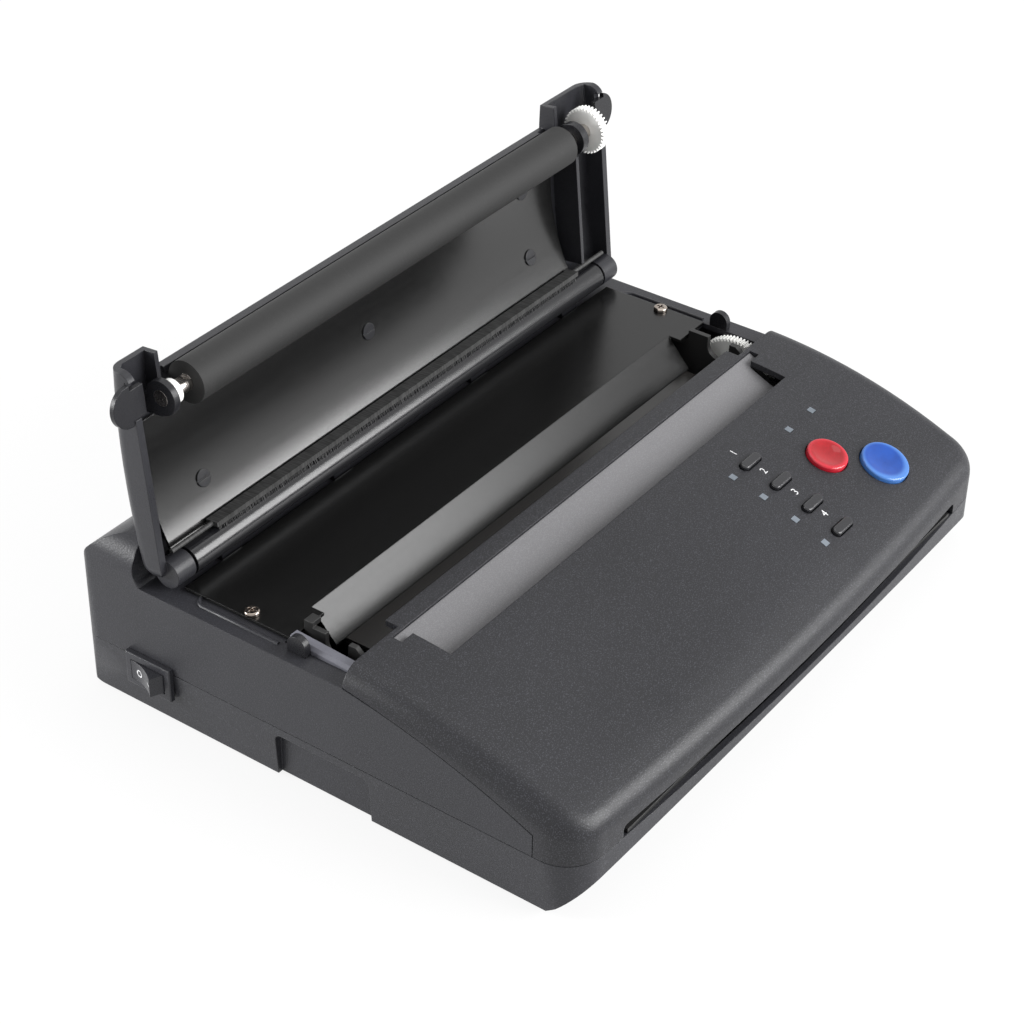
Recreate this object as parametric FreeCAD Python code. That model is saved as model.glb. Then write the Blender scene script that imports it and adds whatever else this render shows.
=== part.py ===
import FreeCAD, Part
import math
import os

# Desktop thermal stencil copier, lid open. Millimetres, +X to its right, +Y to its rear, +Z up.
# The origin is the middle of the footprint, on the surface that the feet rest on.

V = FreeCAD.Vector
origin = V(0, 0, 0)
x_axis = V(1, 0, 0)

# Whole machine
body_width = 277.5
body_depth = 220.0
foot_height = 1.5
seam_height = 23.4
wall_height = 55.0
rear_height = 71.0
rear_corner_radius = 9.0
rear_round_radius = 26.0
casing_wall = 2.5
plan_corner_radius = 15.0
front_bow = 5.0
side_draft = 1.4
seam_gap = 0.3
touch_gap = 0.1
running_fit = 0.05
cut_over = 20.0
tiny = 0.001

half_width = body_width / 2
front_y = -body_depth / 2
rear_y = body_depth / 2
hinge_from_rear = 40.5
hinge_y = rear_y - hinge_from_rear
shell_low_z = seam_height + seam_gap

# Lower shell
base_front_from_front = 17.0
base_front_y = front_y + base_front_from_front
lip_height = 3.0
undercut_from_front = 8.5
undercut_y = front_y + undercut_from_front
undercut_z = 9.0
base_rear_radius = 8.0
recess_front_from_hinge = 90.5
recess_front_y = hinge_y - recess_front_from_hinge
recess_rear_from_hinge = 49.5
recess_rear_y = hinge_y - recess_rear_from_hinge
recess_top_z = 20.0
recess_depth = 2.0
recess_corner = 3.0
foot_radius = 6.0
foot_from_side = 20.75
foot_x = half_width - foot_from_side
foot_front_from_front = 26.0
foot_front_y = front_y + foot_front_from_front
foot_rear_from_rear = 18.0
foot_rear_y = rear_y - foot_rear_from_rear

# Front cover
cover_rear_from_hinge = 74.7
cover_rear_y = hinge_y - cover_rear_from_hinge
cover_rear_z = 62.0
cover_middle_share = 0.57251908
cover_middle_y = front_y + cover_middle_share * (cover_rear_y - front_y)
cover_middle_z = 57.3
cover_nose_from_front = 4.0
cover_nose_y = front_y + cover_nose_from_front
cover_nose_z = 38.0
cover_edge_radius = 9.0
cover_corner_from_hinge = 80.1
cover_corner_y = hinge_y - cover_corner_from_hinge
cover_corner_from_side = 30.55
cover_corner_x = half_width - cover_corner_from_side
parting_middle_share = 0.59160305
parting_middle_y = front_y + parting_middle_share * (cover_rear_y - front_y)
parting_middle_z = 47.2
parting_front_from_front = 22.0
parting_front_y = front_y + parting_front_from_front
parting_front_z = 32.6
parting_top_from_hinge = 79.5
parting_top_y = hinge_y - parting_top_from_hinge
slot_from_side = 24.95
slot_half_width = half_width - slot_from_side
slot_height = 5.2
slot_corner_radius = 2.0

# Document tray, sunk in the cover
tray_rear_from_hinge = 81.9
tray_rear_y = hinge_y - tray_rear_from_hinge
tray_step_from_hinge = 86.1
tray_step_y = hinge_y - tray_step_from_hinge
tray_front_from_hinge = 101.9
tray_front_y = hinge_y - tray_front_from_hinge
tray_from_side = 30.75
tray_half_width = half_width - tray_from_side
tray_ear_from_side = 24.75
tray_ear_x = half_width - tray_ear_from_side
tray_rear_z = 61.0
tray_end_from_hinge = 104.1
tray_end_y = hinge_y - tray_end_from_hinge
tray_end_z = 51.4
tray_thickness = 1.6
panel_length = tray_end_y - front_y
tray_flange = 2.0
tray_sag = 0.6
guide_start_share = 0.85411141
guide_start_y = front_y + guide_start_share * panel_length
guide_start_z = 46.4
guide_end_from_front = 12.0
guide_end_y = front_y + guide_end_from_front
guide_end_z = 25.2
guide_lip_from_front = 3.6
guide_lip_y = front_y + guide_lip_from_front
guide_lip_z = 25.0
guide_thickness = 1.5
guide_from_side = 27.75
guide_half_width = half_width - guide_from_side

# Controls on the cover
key_x = 52.8
key_shares = (0.79177719, 0.61405836, 0.43103448, 0.25862069)
key_y = tuple(front_y + share * panel_length for share in key_shares)
key_length = 11.4
key_width = 3.9
key_rise = 1.6
key_depth = 4.4
key_flange = 0.9
led_x = 40.7
led_size = 2.7
status_led_x = (80.8, 97.6)
status_led_share = 0.79177719
status_led_y = front_y + status_led_share * panel_length
stop_x = 79.4
stop_share = 0.55702918
stop_y = front_y + stop_share * panel_length
stop_radius = 8.15
copy_x = 95.6
copy_share = 0.34217507
copy_y = front_y + copy_share * panel_length
copy_radius = 9.75
button_rise = 1.8
button_depth = 4.4
button_edge = 0.8
dish_depth = 0.8
dish_rim = 1.0
control_gap = 0.35
flange_thickness = 1.0
press_travel = 1.0
board_depth = 7.4
board_thickness = 1.6
board_front_share = 0.18567639
board_front_y = front_y + board_front_share * panel_length
board_rear_share = 0.82891247
board_rear_y = front_y + board_rear_share * panel_length
board_left_x = 35.0
board_right_x = 110.0
cover_post_x = (66.0, 107.0)
cover_post_shares = (0.70954907, 0.24535809)
cover_post_y = tuple(front_y + share * panel_length for share in cover_post_shares)
cover_post_radius = 2.0
switch_height = 1.1
switch_radius = 2.2

# Rear block of the upper shell, with the hollow that the lid's tail turns in
block_lean = 12.57
block_radius = 12.0
scoop_radius = 12.6
scoop_low_from_rear = 30.8
scoop_low_y = rear_y - scoop_low_from_rear
scoop_high_z = 65.2
ledge_inner_from_side = 14.75
ledge_inner_x = half_width - ledge_inner_from_side
ledge_well_from_side = 7.75
ledge_well_x = half_width - ledge_well_from_side
ledge_thickness = 2.2
well_rear_from_hinge = 49.5
well_rear_y = hinge_y - well_rear_from_hinge
shelf_front_from_rear = 48.0
shelf_front_y = rear_y - shelf_front_from_rear

# Lid hinge and lid, drawn with u from the hinge to the free edge and w towards the outside
hinge_z = 63.0
lid_lean = 5.6
lid_swing = 101.0
lid_length = 69.2
lid_from_side = 1.55
lid_half_width = half_width - lid_from_side
lid_side_wall = 3.0
lid_wall = 2.2
lid_crown_w = 13.0
lid_crown_u = 36.0
lid_tail_w = 11.4
lid_tail_u = 3.0
lid_tail_radius = 6.6
lid_side_radius = 6.2
lid_low_w = -8.8
tail_cut_w = 6.4
outer_rim_w = -0.6
rim_low_w = 3.4
rim_low_u = -1.9
rim_bend_w = 0.36
rim_bend_u = 0.03
rim_start_u = 3.5
rim_turn_u = 72.0
rim_tip_w = 4.0
rim_corner_w = 0.6
rim_corner_u = 77.2
ear_start_u = 58.4
lid_lip_w = 7.4
rib_width = 1.8
rib_from_side = 23.15
rib_x = half_width - rib_from_side
left_leg_from_side = 17.75
left_leg_x = left_leg_from_side - half_width
right_leg_from_side = 30.15
right_leg_x = half_width - right_leg_from_side
rib_rim_w = -1.0
rib_low_u = 8.9
rib_turn_u = 56.0
ear_leg_w = 3.2
ear_end_u = 79.0
ear_tip_w = 9.8

# Hinge bar across the rear of the deck
rod_radius = 2.5
rod_from_side = 5.75
rod_half_length = half_width - rod_from_side
barrel_radius = 5.5
barrel_from_side = 14.75
barrel_half_length = half_width - barrel_from_side
knuckle_radius = 5.5
knuckle_inner_from_side = 13.55
knuckle_inner_x = half_width - knuckle_inner_from_side
barrel_foot_x = (42.0, 104.0)
barrel_foot_width = 10.0
barrel_foot_depth = 5.0

# Lid fittings
plate_left_from_side = 10.75
plate_left_x = plate_left_from_side - half_width
plate_right_from_side = 26.75
plate_right_x = half_width - plate_right_from_side
plate_top_w = 8.5
plate_top_u = 54.0
plate_middle_w = 9.3
plate_middle_u = 33.0
plate_low_w = 2.5
plate_low_u = 6.0
plate_thickness = 1.0
plug_radius = 3.2
plug_rise = 0.5
plug_slot = 0.7
plug_places = ((-103.6, 20.4), (92.0, 48.5), (-7.4, 32.8), (92.0, 20.4))
brush_from_side = 28.75
brush_half_length = half_width - brush_from_side
brush_low_u = 6.8
brush_high_u = 8.6
brush_front_w = -3.0
brush_rear_w = 2.2
pin_radius = 0.9
pin_outer_from_side = 7.95
pin_outer_x = half_width - pin_outer_from_side

# Platen roller, its shaft, gear and bearings
platen_u = 65.8
platen_w = -2.2
roller_radius = 8.0
roller_left_from_side = 25.35
roller_left_x = roller_left_from_side - half_width
roller_right_from_side = 34.35
roller_right_x = half_width - roller_right_from_side
shaft_radius = 3.0
shaft_left_from_side = 12.55
shaft_left_x = shaft_left_from_side - half_width
shaft_right_from_side = 13.55
shaft_right_x = half_width - shaft_right_from_side
shaft_flat = 1.0
tooth_size = 0.5
platen_gear_teeth = 36
platen_gear_from_side = 18.35
platen_gear_x = half_width - platen_gear_from_side
platen_gear_width = 4.0
gear_hub_radius = 5.5
gear_hub_width = 0.8
lug_radius = 6.5
left_lug_outer_from_side = 12.55
left_lug_outer_x = half_width - left_lug_outer_from_side
left_lug_inner_from_side = 15.15
left_lug_inner_x = half_width - left_lug_inner_from_side
right_lug_inner_from_side = 27.85
right_lug_inner_x = half_width - right_lug_inner_from_side
right_lug_outer_from_side = 24.35
right_lug_outer_x = half_width - right_lug_outer_from_side
lug_low_u = 58.8
lug_top_w = 8.8
bush_radius = 4.5
bush_outer_from_side = 15.35
bush_outer_x = half_width - bush_outer_from_side
bush_inner_from_side = 18.95
bush_inner_x = half_width - bush_inner_from_side
clip_radius = 4.4
clip_width = 0.8

# Release tabs beside the lid
right_tab_from_side = 3.15
right_tab_x = half_width - right_tab_from_side
left_tab_from_side = 0.35
left_tab_x = half_width - left_tab_from_side
tab_radius = 7.5
tab_clear_from_side = 1.25
tab_clear_x = half_width - tab_clear_from_side
tab_u = 68.0
tab_low_w = -0.4
tab_high_w = 1.5
tab_half_root = 5.6
tab_inner_from_side = 7.35
tab_inner_x = half_width - tab_inner_from_side
tab_nose_u = 62.2
tab_travel = 2.0

# Deck
deck_height = 56.5
deck_thickness = 1.2
deck_from_side = 9.25
deck_half_width = half_width - deck_from_side
deck_rear_from_rear = 44.0
deck_rear_y = rear_y - deck_rear_from_rear
deck_wide_front_from_hinge = 51.0
deck_wide_front_y = hinge_y - deck_wide_front_from_hinge
deck_fold_from_hinge = 45.5
deck_fold_y = hinge_y - deck_fold_from_hinge
slope_from_side = 26.75
slope_half_width = half_width - slope_from_side
slope_end_from_hinge = 56.0
slope_end_y = hinge_y - slope_end_from_hinge
slope_end_z = 45.0
deck_screw_from_side = 11.75
deck_screw_x = half_width - deck_screw_from_side
deck_screw_from_hinge = 31.8
deck_screw_y = hinge_y - deck_screw_from_hinge
screw_head_radius = 2.8
screw_head_height = 1.6
screw_radius = 1.5
screw_length = 5.0
cross_length = 3.2
cross_width = 0.7
cross_depth = 0.9

# Drive train at the right, feed train at the left
mesh_tilt = 12.0
drive_teeth = 32
wheel_teeth = 70
drive_inner_from_side = 18.45
drive_inner_x = half_width - drive_inner_from_side
drive_step_from_side = 13.35
drive_step_x = half_width - drive_step_from_side
wheel_outer_from_side = 9.55
wheel_outer_x = half_width - wheel_outer_from_side
axle_radius = 1.5
axle_outer_from_side = 9.05
axle_outer_x = half_width - axle_outer_from_side
drive_idler_teeth = 30
drive_idler_bearing = 112.0
pinion_teeth = 12
drive_pinion_bearing = 100.0
motor_radius = 17.5
motor_length = 34.0
motor_shaft_radius = 1.5
motor_boss_radius = 5.0
motor_boss_length = 1.6
feed_from_hinge = 109.7
feed_y = hinge_y - feed_from_hinge
feed_z = 44.0
feed_radius = 5.0
feed_from_side = 46.75
feed_half_length = half_width - feed_from_side
feed_teeth = 32
feed_idler_teeth = 32
feed_idler_bearing = 166.0
feed_pinion_bearing = 130.0
feed_gear_from_side = 13.55
feed_gear_x = half_width - feed_gear_from_side
feed_gear_width = 3.4
feed_motor_radius = 14.0
feed_motor_length = 24.0

# Frames beside the platen
left_frame_outer_from_side = 15.95
left_frame_outer_x = half_width - left_frame_outer_from_side
left_frame_inner_from_side = 17.95
left_frame_inner_x = half_width - left_frame_inner_from_side
right_frame_inner_from_side = 21.05
right_frame_inner_x = half_width - right_frame_inner_from_side
right_frame_outer_from_side = 18.85
right_frame_outer_x = half_width - right_frame_outer_from_side
frame_low_z = 4.2
frame_front_from_hinge = 129.5
frame_front_y = hinge_y - frame_front_from_hinge
frame_rear_from_hinge = 17.5
frame_rear_y = hinge_y - frame_rear_from_hinge
frame_front_z = 48.0
frame_notch_z = 58.4
frame_top_front_from_hinge = 73.3
frame_top_front_y = hinge_y - frame_top_front_from_hinge
frame_top_rear_from_hinge = 51.3
frame_top_rear_y = hinge_y - frame_top_rear_from_hinge
frame_rear_z = 54.8
notch_radius = 4.9
notch_lead = 1.5
frame_tab_front_from_hinge = 54.9
frame_tab_front_y = hinge_y - frame_tab_front_from_hinge
frame_tab_z = 60.4
frame_tab_from_side = 20.55
frame_tab_x = half_width - frame_tab_from_side
latch_inner_from_side = 7.65
latch_inner_x = half_width - latch_inner_from_side
latch_outer_from_side = 4.95
latch_outer_x = half_width - latch_outer_from_side
latch_front_from_hinge = 60.9
latch_front_y = hinge_y - latch_front_from_hinge
latch_rear_from_hinge = 52.9
latch_rear_y = hinge_y - latch_rear_from_hinge
latch_top_z = 62.0
trim_bar_width = 4.3
trim_bar_front_z = 56.8
trim_bar_gap = 0.6
trim_bar_bevel = 1.2

# Heating head under the platen
head_front_from_hinge = 74.1
head_front_y = hinge_y - head_front_from_hinge
head_rear_from_hinge = 57.1
head_rear_y = hinge_y - head_rear_from_hinge
head_top_z = 46.2
head_thickness = 1.6
head_from_side = 30.75
head_half_length = half_width - head_from_side
sink_low_z = 33.0
sink_base = 4.0
fin_width = 1.6
fin_count = 4
beam_low_z = 22.0
beam_front_from_hinge = 70.5
beam_front_y = hinge_y - beam_front_from_hinge
beam_rear_from_hinge = 60.5
beam_rear_y = hinge_y - beam_rear_from_hinge

# Boards, sensor, switch and inlet
sensor_from_side = 30.75
sensor_half_length = half_width - sensor_from_side
sensor_front_share = 0.39787798
sensor_front_y = front_y + sensor_front_share * panel_length
sensor_rear_share = 0.61007958
sensor_rear_y = front_y + sensor_rear_share * panel_length
sensor_depth = 13.0
board_front_from_hinge = 121.5
board_rear_from_hinge = 21.5
board_box = (-62.0, 62.0, hinge_y - board_front_from_hinge, hinge_y - board_rear_from_hinge, 8.0, 9.6)
board_post_radius = 2.5
board_post_x = 56.0
board_post_front_from_hinge = 115.5
board_post_front_y = hinge_y - board_post_front_from_hinge
board_post_rear_from_hinge = 27.5
board_post_rear_y = hinge_y - board_post_rear_from_hinge
supply_front_from_rear = 52.0
supply_rear_from_rear = 12.0
supply_box = (-104.0, -40.0, rear_y - supply_front_from_rear, rear_y - supply_rear_from_rear, 8.0, 9.6)
supply_cap_radius = 8.0
supply_cap_x = -90.0
supply_cap_from_rear = 34.0
supply_cap_y = rear_y - supply_cap_from_rear
supply_cap_height = 24.0
coil_front_from_rear = 44.0
coil_rear_from_rear = 22.0
supply_coil_box = (-74.0, -50.0, rear_y - coil_front_from_rear, rear_y - coil_rear_from_rear, 9.7, 27.0)
inlet_left_x = -110.0
inlet_right_x = -83.0
inlet_low_z = 26.2
inlet_high_z = 45.8
inlet_depth = 16.0
inlet_flange = 1.8
inlet_wall = 1.8
inlet_blade_width = 2.0
inlet_blade_height = 4.0
inlet_blade_length = 9.0
inlet_blade_pitch = 7.0
switch_front_from_rear = 44.2
switch_front_y = rear_y - switch_front_from_rear
switch_rear_from_rear = 23.4
switch_rear_y = rear_y - switch_rear_from_rear
switch_low_z = 12.5
switch_high_z = 26.2
switch_face_proud = 2.25
switch_face_x = half_width + switch_face_proud
switch_bezel = 1.3
switch_body_depth = 16.0
rocker_gap = 0.3
rocker_pivot_proud = 1.15
rocker_pivot_x = half_width + rocker_pivot_proud
rocker_pivot_radius = 0.9
rocker_end_s = 6.66
rocker_end_n = 3.65
rocker_dish = 1.15
rocker_waist_s = 7.1
rocker_waist_n = -2.0
rocker_root_s = 4.5
rocker_root_n = -5.0
rocker_tilt = 20.0


def place(plane, offset, point):
    a, b = point
    if plane == "x":
        return V(offset, a, b)
    if plane == "y":
        return V(a, offset, b)
    return V(a, b, offset)


def prism(plane, low, high, start, *steps):
    here = place(plane, low, start)
    first = here
    edges = []
    for step in steps:
        if isinstance(step[0], tuple):
            middle = place(plane, low, step[0])
            there = place(plane, low, step[1])
            edges.append(Part.Arc(here, middle, there).toShape())
        else:
            there = place(plane, low, step)
            if (there - here).Length < tiny:
                continue
            edges.append(Part.makeLine(here, there))
        here = there
    if (here - first).Length > tiny:
        edges.append(Part.makeLine(here, first))
    face = Part.Face(Part.Wire(edges))
    along = {"x": V(high - low, 0, 0), "y": V(0, high - low, 0), "z": V(0, 0, high - low)}
    return face.extrude(along[plane])


def box(x1, x2, y1, y2, z1, z2):
    return Part.makeBox(x2 - x1, y2 - y1, z2 - z1, V(x1, y1, z1))


def rod_x(x1, x2, y, z, radius):
    return Part.makeCylinder(radius, x2 - x1, V(x1, y, z), x_axis)


def rod_z(z1, z2, x, y, radius):
    return Part.makeCylinder(radius, z2 - z1, V(x, y, z1))


def join(first, *others):
    return first.multiFuse(list(others)).removeSplitter()


def cut(first, *others):
    for other in others:
        first = first.cut(other)
    return first


def mirrored(shape):
    return shape.mirror(origin, x_axis)


def pair(shape):
    return Part.makeCompound([shape, mirrored(shape)])


def solid(shape):
    return max(shape.Solids, key=lambda s: s.Volume)


def upright(edge):
    a = edge.Vertexes[0].Point
    b = edge.Vertexes[-1].Point
    return abs(a.x - b.x) < tiny and abs(a.y - b.y) < tiny


def circle_through(p, q, r):
    d = 2 * (p[0] * (q[1] - r[1]) + q[0] * (r[1] - p[1]) + r[0] * (p[1] - q[1]))
    pp = p[0] ** 2 + p[1] ** 2
    qq = q[0] ** 2 + q[1] ** 2
    rr = r[0] ** 2 + r[1] ** 2
    a = (pp * (q[1] - r[1]) + qq * (r[1] - p[1]) + rr * (p[1] - q[1])) / d
    b = (pp * (r[0] - q[0]) + qq * (p[0] - r[0]) + rr * (q[0] - p[0])) / d
    return a, b, math.hypot(p[0] - a, p[1] - b)


def bearing_point(y, z, distance, bearing):
    turn = math.radians(bearing)
    return y + distance * math.sin(turn), z + distance * math.cos(turn)


# Trapezoid teeth; the first tooth points along the turn, in degrees from up towards the rear
def gear(x1, x2, y, z, teeth, turn):
    pitch_radius = teeth * tooth_size / 2
    tip = pitch_radius + tooth_size
    root = pitch_radius - 1.25 * tooth_size
    pitch = 360.0 / teeth
    points = []
    for tooth in range(teeth):
        middle = turn + tooth * pitch
        for share, radius in ((-0.30, root), (-0.14, tip), (0.14, tip), (0.30, root)):
            points.append(bearing_point(y, z, radius, middle + share * pitch))
    return prism("x", x1, x2, *points)


def pitch_distance(teeth, other):
    return (teeth + other) * tooth_size / 2


# Turn of the next gear, so that its teeth fall between those of the gear that it meets
def mating_turn(turn, teeth, other, bearing):
    lead = (bearing - turn) % (360.0 / teeth)
    return bearing + 180.0 + lead * teeth / other + 180.0 / other


# Outline from above, with bowed front and rounded corners
def plan_prism(inset, low, high):
    x = half_width - inset
    y = front_y + front_bow + inset
    body = prism("z", low, high, (-x, y), ((0, front_y + inset), (x, y)), (x, rear_y - inset), (-x, rear_y - inset))
    corners = [e for e in body.Edges if upright(e)]
    body = body.makeFillet(plan_corner_radius - inset, [e for e in corners if e.CenterOfMass.y < 0])
    corners = [e for e in body.Edges if upright(e) and e.CenterOfMass.y > rear_y - inset - tiny]
    return body.makeFillet(rear_corner_radius - inset, corners)


def base_envelope(inset, top):
    low = foot_height + inset
    lip_z = seam_height - lip_height
    r = base_rear_radius - inset
    center_y = rear_y - base_rear_radius
    center_z = foot_height + base_rear_radius
    s = math.sqrt(0.5)
    side = prism("x", -half_width, half_width,
                 (base_front_y + inset, low),
                 ((undercut_y + inset * s, undercut_z + inset * s), (front_y + inset, lip_z)),
                 (front_y + inset, top),
                 (rear_y - inset, top),
                 (rear_y - inset, center_z),
                 ((center_y + r * s, center_z - r * s), (center_y, low)))
    x = half_width - inset
    section = prism("y", front_y, rear_y,
                    (-x + side_draft, foot_height), (-x, seam_height), (-x, top),
                    (x, top), (x, seam_height), (x - side_draft, foot_height))
    return side.common(plan_prism(inset, foot_height, top)).common(section)


cover_y, cover_z, cover_radius = circle_through(
    (cover_rear_y, cover_rear_z), (cover_middle_y, cover_middle_z), (cover_nose_y, cover_nose_z))


def cover_height(y, inset=0):
    return cover_z + math.sqrt((cover_radius - inset) ** 2 - (y - cover_y) ** 2)


# Curved top meeting the sides and the front in one long rounded edge
def cover_envelope(inset, rear, low):
    y = front_y + inset
    half = (y + rear) / 2
    side = prism("x", -half_width, half_width,
                 (y, low), (y, cover_height(y, inset)),
                 ((half, cover_height(half, inset)), (rear, cover_height(rear, inset))),
                 (rear, low))
    body = solid(side.common(plan_prism(inset, low, cover_rear_z + cut_over)))
    top = max(body.Faces, key=lambda f: f.CenterOfMass.z)
    edges = []
    for edge in top.Edges:
        at_rear = all(abs(v.Point.y - rear) < tiny for v in edge.Vertexes)
        if not at_rear:
            edges.append(edge)
    return body.makeFillet(cover_edge_radius - inset, edges)


# Places a piece, drawn on the flat, on the cover's curve
def on_cover(shape, x, y):
    shape = shape.copy()
    shape.rotate(origin, x_axis, math.degrees(math.asin((cover_y - y) / cover_radius)))
    shape.translate(V(x, y, cover_height(y)))
    return shape


# From the lid's own frame, with w along Y and u along Z, to the open lid
def on_lid(shape):
    shape = shape.copy()
    shape.rotate(origin, x_axis, -lid_lean)
    shape.translate(V(0, hinge_y, hinge_z))
    return shape


def lid_point(w, u, turned=0):
    a = math.radians(lid_lean - turned)
    return hinge_y + u * math.sin(a) + w * math.cos(a), hinge_z + u * math.cos(a) - w * math.sin(a)


closed_y, closed_z = lid_point(platen_w, platen_u, lid_swing)
drive_y, drive_z = bearing_point(
    closed_y, closed_z, pitch_distance(platen_gear_teeth, drive_teeth), mesh_tilt + 180.0)
drive_idler_y, drive_idler_z = bearing_point(
    drive_y, drive_z, pitch_distance(wheel_teeth, drive_idler_teeth), drive_idler_bearing)
drive_pinion_y, drive_pinion_z = bearing_point(
    drive_idler_y, drive_idler_z, pitch_distance(drive_idler_teeth, pinion_teeth), drive_pinion_bearing)
feed_idler_y, feed_idler_z = bearing_point(
    feed_y, feed_z, pitch_distance(feed_teeth, feed_idler_teeth), feed_idler_bearing)
feed_pinion_y, feed_pinion_z = bearing_point(
    feed_idler_y, feed_idler_z, pitch_distance(feed_idler_teeth, pinion_teeth), feed_pinion_bearing)


def switch_opening():
    y1 = switch_front_y + switch_bezel
    y2 = switch_rear_y - switch_bezel
    z1 = switch_low_z + switch_bezel
    z2 = switch_high_z - switch_bezel
    return y1, y2, z1, z2


def switch_hole():
    y1, y2, z1, z2 = switch_opening()
    g = touch_gap
    return box(-half_width - cut_over, -half_width + cut_over, y1 - g, y2 + g, z1 - g, z2 + g)


def base_shell():
    shell = base_envelope(0, seam_height)
    inner_x = half_width - side_draft - recess_depth - casing_wall
    room = base_envelope(casing_wall, seam_height + cut_over)
    pad = box(inner_x, half_width, recess_front_y - casing_wall, recess_rear_y + casing_wall, 0, seam_height)
    room = cut(room, pad, mirrored(pad))
    r = recess_corner
    recess = box(half_width - side_draft - recess_depth, half_width + cut_over,
                 recess_front_y, recess_rear_y, foot_height - cut_over, recess_top_z)
    recess = recess.makeFillet(r, [e for e in recess.Edges if along_x(e, recess_top_z)])
    return cut(shell, room, recess, mirrored(recess), switch_hole())


def along_x(edge, z):
    a = edge.Vertexes[0].Point
    b = edge.Vertexes[-1].Point
    return abs(a.z - z) < tiny and abs(b.z - z) < tiny and abs(a.y - b.y) < tiny


def parting(gap):
    return prism("x", -half_width - cut_over, half_width + cut_over,
                 (parting_front_y - gap, 0), (parting_front_y - gap, parting_front_z + gap),
                 ((parting_middle_y, parting_middle_z + gap), (parting_top_y, wall_height + gap)),
                 (rear_y, wall_height + gap), (rear_y, 0))


scoop_top_y = hinge_y + math.sqrt(scoop_radius ** 2 - (scoop_high_z - hinge_z) ** 2)
block_front_y = scoop_top_y + (rear_height - scoop_high_z) * math.tan(math.radians(block_lean))


def rounded_section(inset, low, high):
    x = half_width - inset
    r = block_radius - inset
    k = r * (1 - math.sqrt(0.5))
    return prism("y", front_y, rear_y, (-x, low), (-x, high - r),
                 ((-x + k, high - k), (-x + r, high)), (x - r, high),
                 ((x - k, high - k), (x, high - r)), (x, low))


def upper_shell():
    r = rear_round_radius
    k = r * (1 - math.sqrt(0.5))
    side = prism("x", -half_width, half_width,
                 (parting_front_y, shell_low_z), (parting_front_y, parting_front_z),
                 ((parting_middle_y, parting_middle_z), (parting_top_y, wall_height)),
                 (scoop_low_y, wall_height),
                 ((hinge_y + scoop_radius, hinge_z),
                  (scoop_top_y, scoop_high_z)),
                 (block_front_y, rear_height), (rear_y - r, rear_height),
                 ((rear_y - k, rear_height - k), (rear_y, rear_height - r)), (rear_y, shell_low_z))
    body = side.common(plan_prism(0, shell_low_z, rear_height)).common(rounded_section(0, shell_low_z, rear_height))
    t = casing_wall
    under = wall_height - ledge_thickness
    inner = r - t
    round_y = rear_y - r
    round_z = rear_height - r
    turn = math.acos((block_front_y + t - round_y) / inner)
    room = prism("x", -half_width, half_width,
                 (front_y, shell_low_z - t), (front_y, under), (block_front_y + t, under),
                 (block_front_y + t, round_z + inner * math.sin(turn)),
                 ((round_y + inner * math.cos(turn / 2), round_z + inner * math.sin(turn / 2)),
                  (rear_y - t, round_z)),
                 (rear_y - t, shell_low_z - t))
    room = room.common(plan_prism(t, shell_low_z - t, rear_height))
    room = room.common(rounded_section(t, shell_low_z - t, rear_height - t))
    opening = box(-ledge_inner_x, ledge_inner_x, front_y, shelf_front_y, under - t, wall_height + t)
    well = box(-ledge_well_x, ledge_well_x, front_y, well_rear_y, under - t, wall_height + t)
    hole = box(inlet_left_x - touch_gap, inlet_right_x + touch_gap, rear_y - cut_over, rear_y + cut_over,
               inlet_low_z - touch_gap, inlet_high_z + touch_gap)
    shell = cut(body, room, opening, well, hole, switch_hole())
    holes = [rod_z(under - t, wall_height + t, x, deck_screw_y, screw_radius + running_fit)
             for x in (-deck_screw_x, deck_screw_x)]
    return cut(shell, *holes)


def key_shape(length, width, low, high):
    r = width / 2
    x = length / 2 - r
    return prism("z", low, high, (-x, -r), (x, -r), ((x + r, 0), (x, r)), (-x, r), ((-x - r, 0), (-x, -r)))


def tray_outline(gap):
    x = tray_half_width + gap
    ear = tray_ear_x + gap
    return prism("z", tray_end_z, cover_rear_z + cut_over,
                 (-ear, tray_rear_y + gap), (-ear, tray_step_y - gap), (-x, tray_step_y - gap),
                 (-x, tray_front_y - gap), (x, tray_front_y - gap), (x, tray_step_y - gap),
                 (ear, tray_step_y - gap), (ear, tray_rear_y + gap))


def front_cover():
    low = shell_low_z
    body = cover_envelope(0, cover_rear_y, low)
    room = cover_envelope(casing_wall, cover_rear_y + cut_over, low - cut_over)
    corner = box(cover_corner_x, half_width + cut_over, cover_corner_y, rear_y, 0, cover_rear_z + cut_over)
    r = slot_corner_radius
    k = r * (1 - math.sqrt(0.5))
    top = seam_height + slot_height
    x = slot_half_width
    slot = prism("y", front_y - cut_over, base_front_y,
                 (-x, 0), (-x, top - r), ((-x + k, top - k), (-x + r, top)),
                 (x - r, top), ((x - k, top - k), (x, top - r)), (x, 0))
    shell = cut(body, room, parting(seam_gap), corner, mirrored(corner), slot, tray_outline(0))
    low_z = -casing_wall - cut_over
    holes = []
    for y in key_y:
        hole = key_shape(key_length + 2 * control_gap, key_width + 2 * control_gap, low_z, cut_over)
        holes.append(on_cover(hole, key_x, y))
        holes.append(on_cover(led_pin(touch_gap), led_x, y))
    for x in status_led_x:
        holes.append(on_cover(led_pin(touch_gap), x, status_led_y))
    for x, y, radius in ((stop_x, stop_y, stop_radius), (copy_x, copy_y, copy_radius)):
        holes.append(on_cover(rod_z(low_z, cut_over, 0, 0, radius + control_gap), x, y))
    posts = [on_cover(rod_z(touch_gap - board_depth, -casing_wall / 2, 0, 0, cover_post_radius), x, y)
             for x in cover_post_x for y in cover_post_y]
    return solid(join(cut(shell, *holes), *posts))


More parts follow.
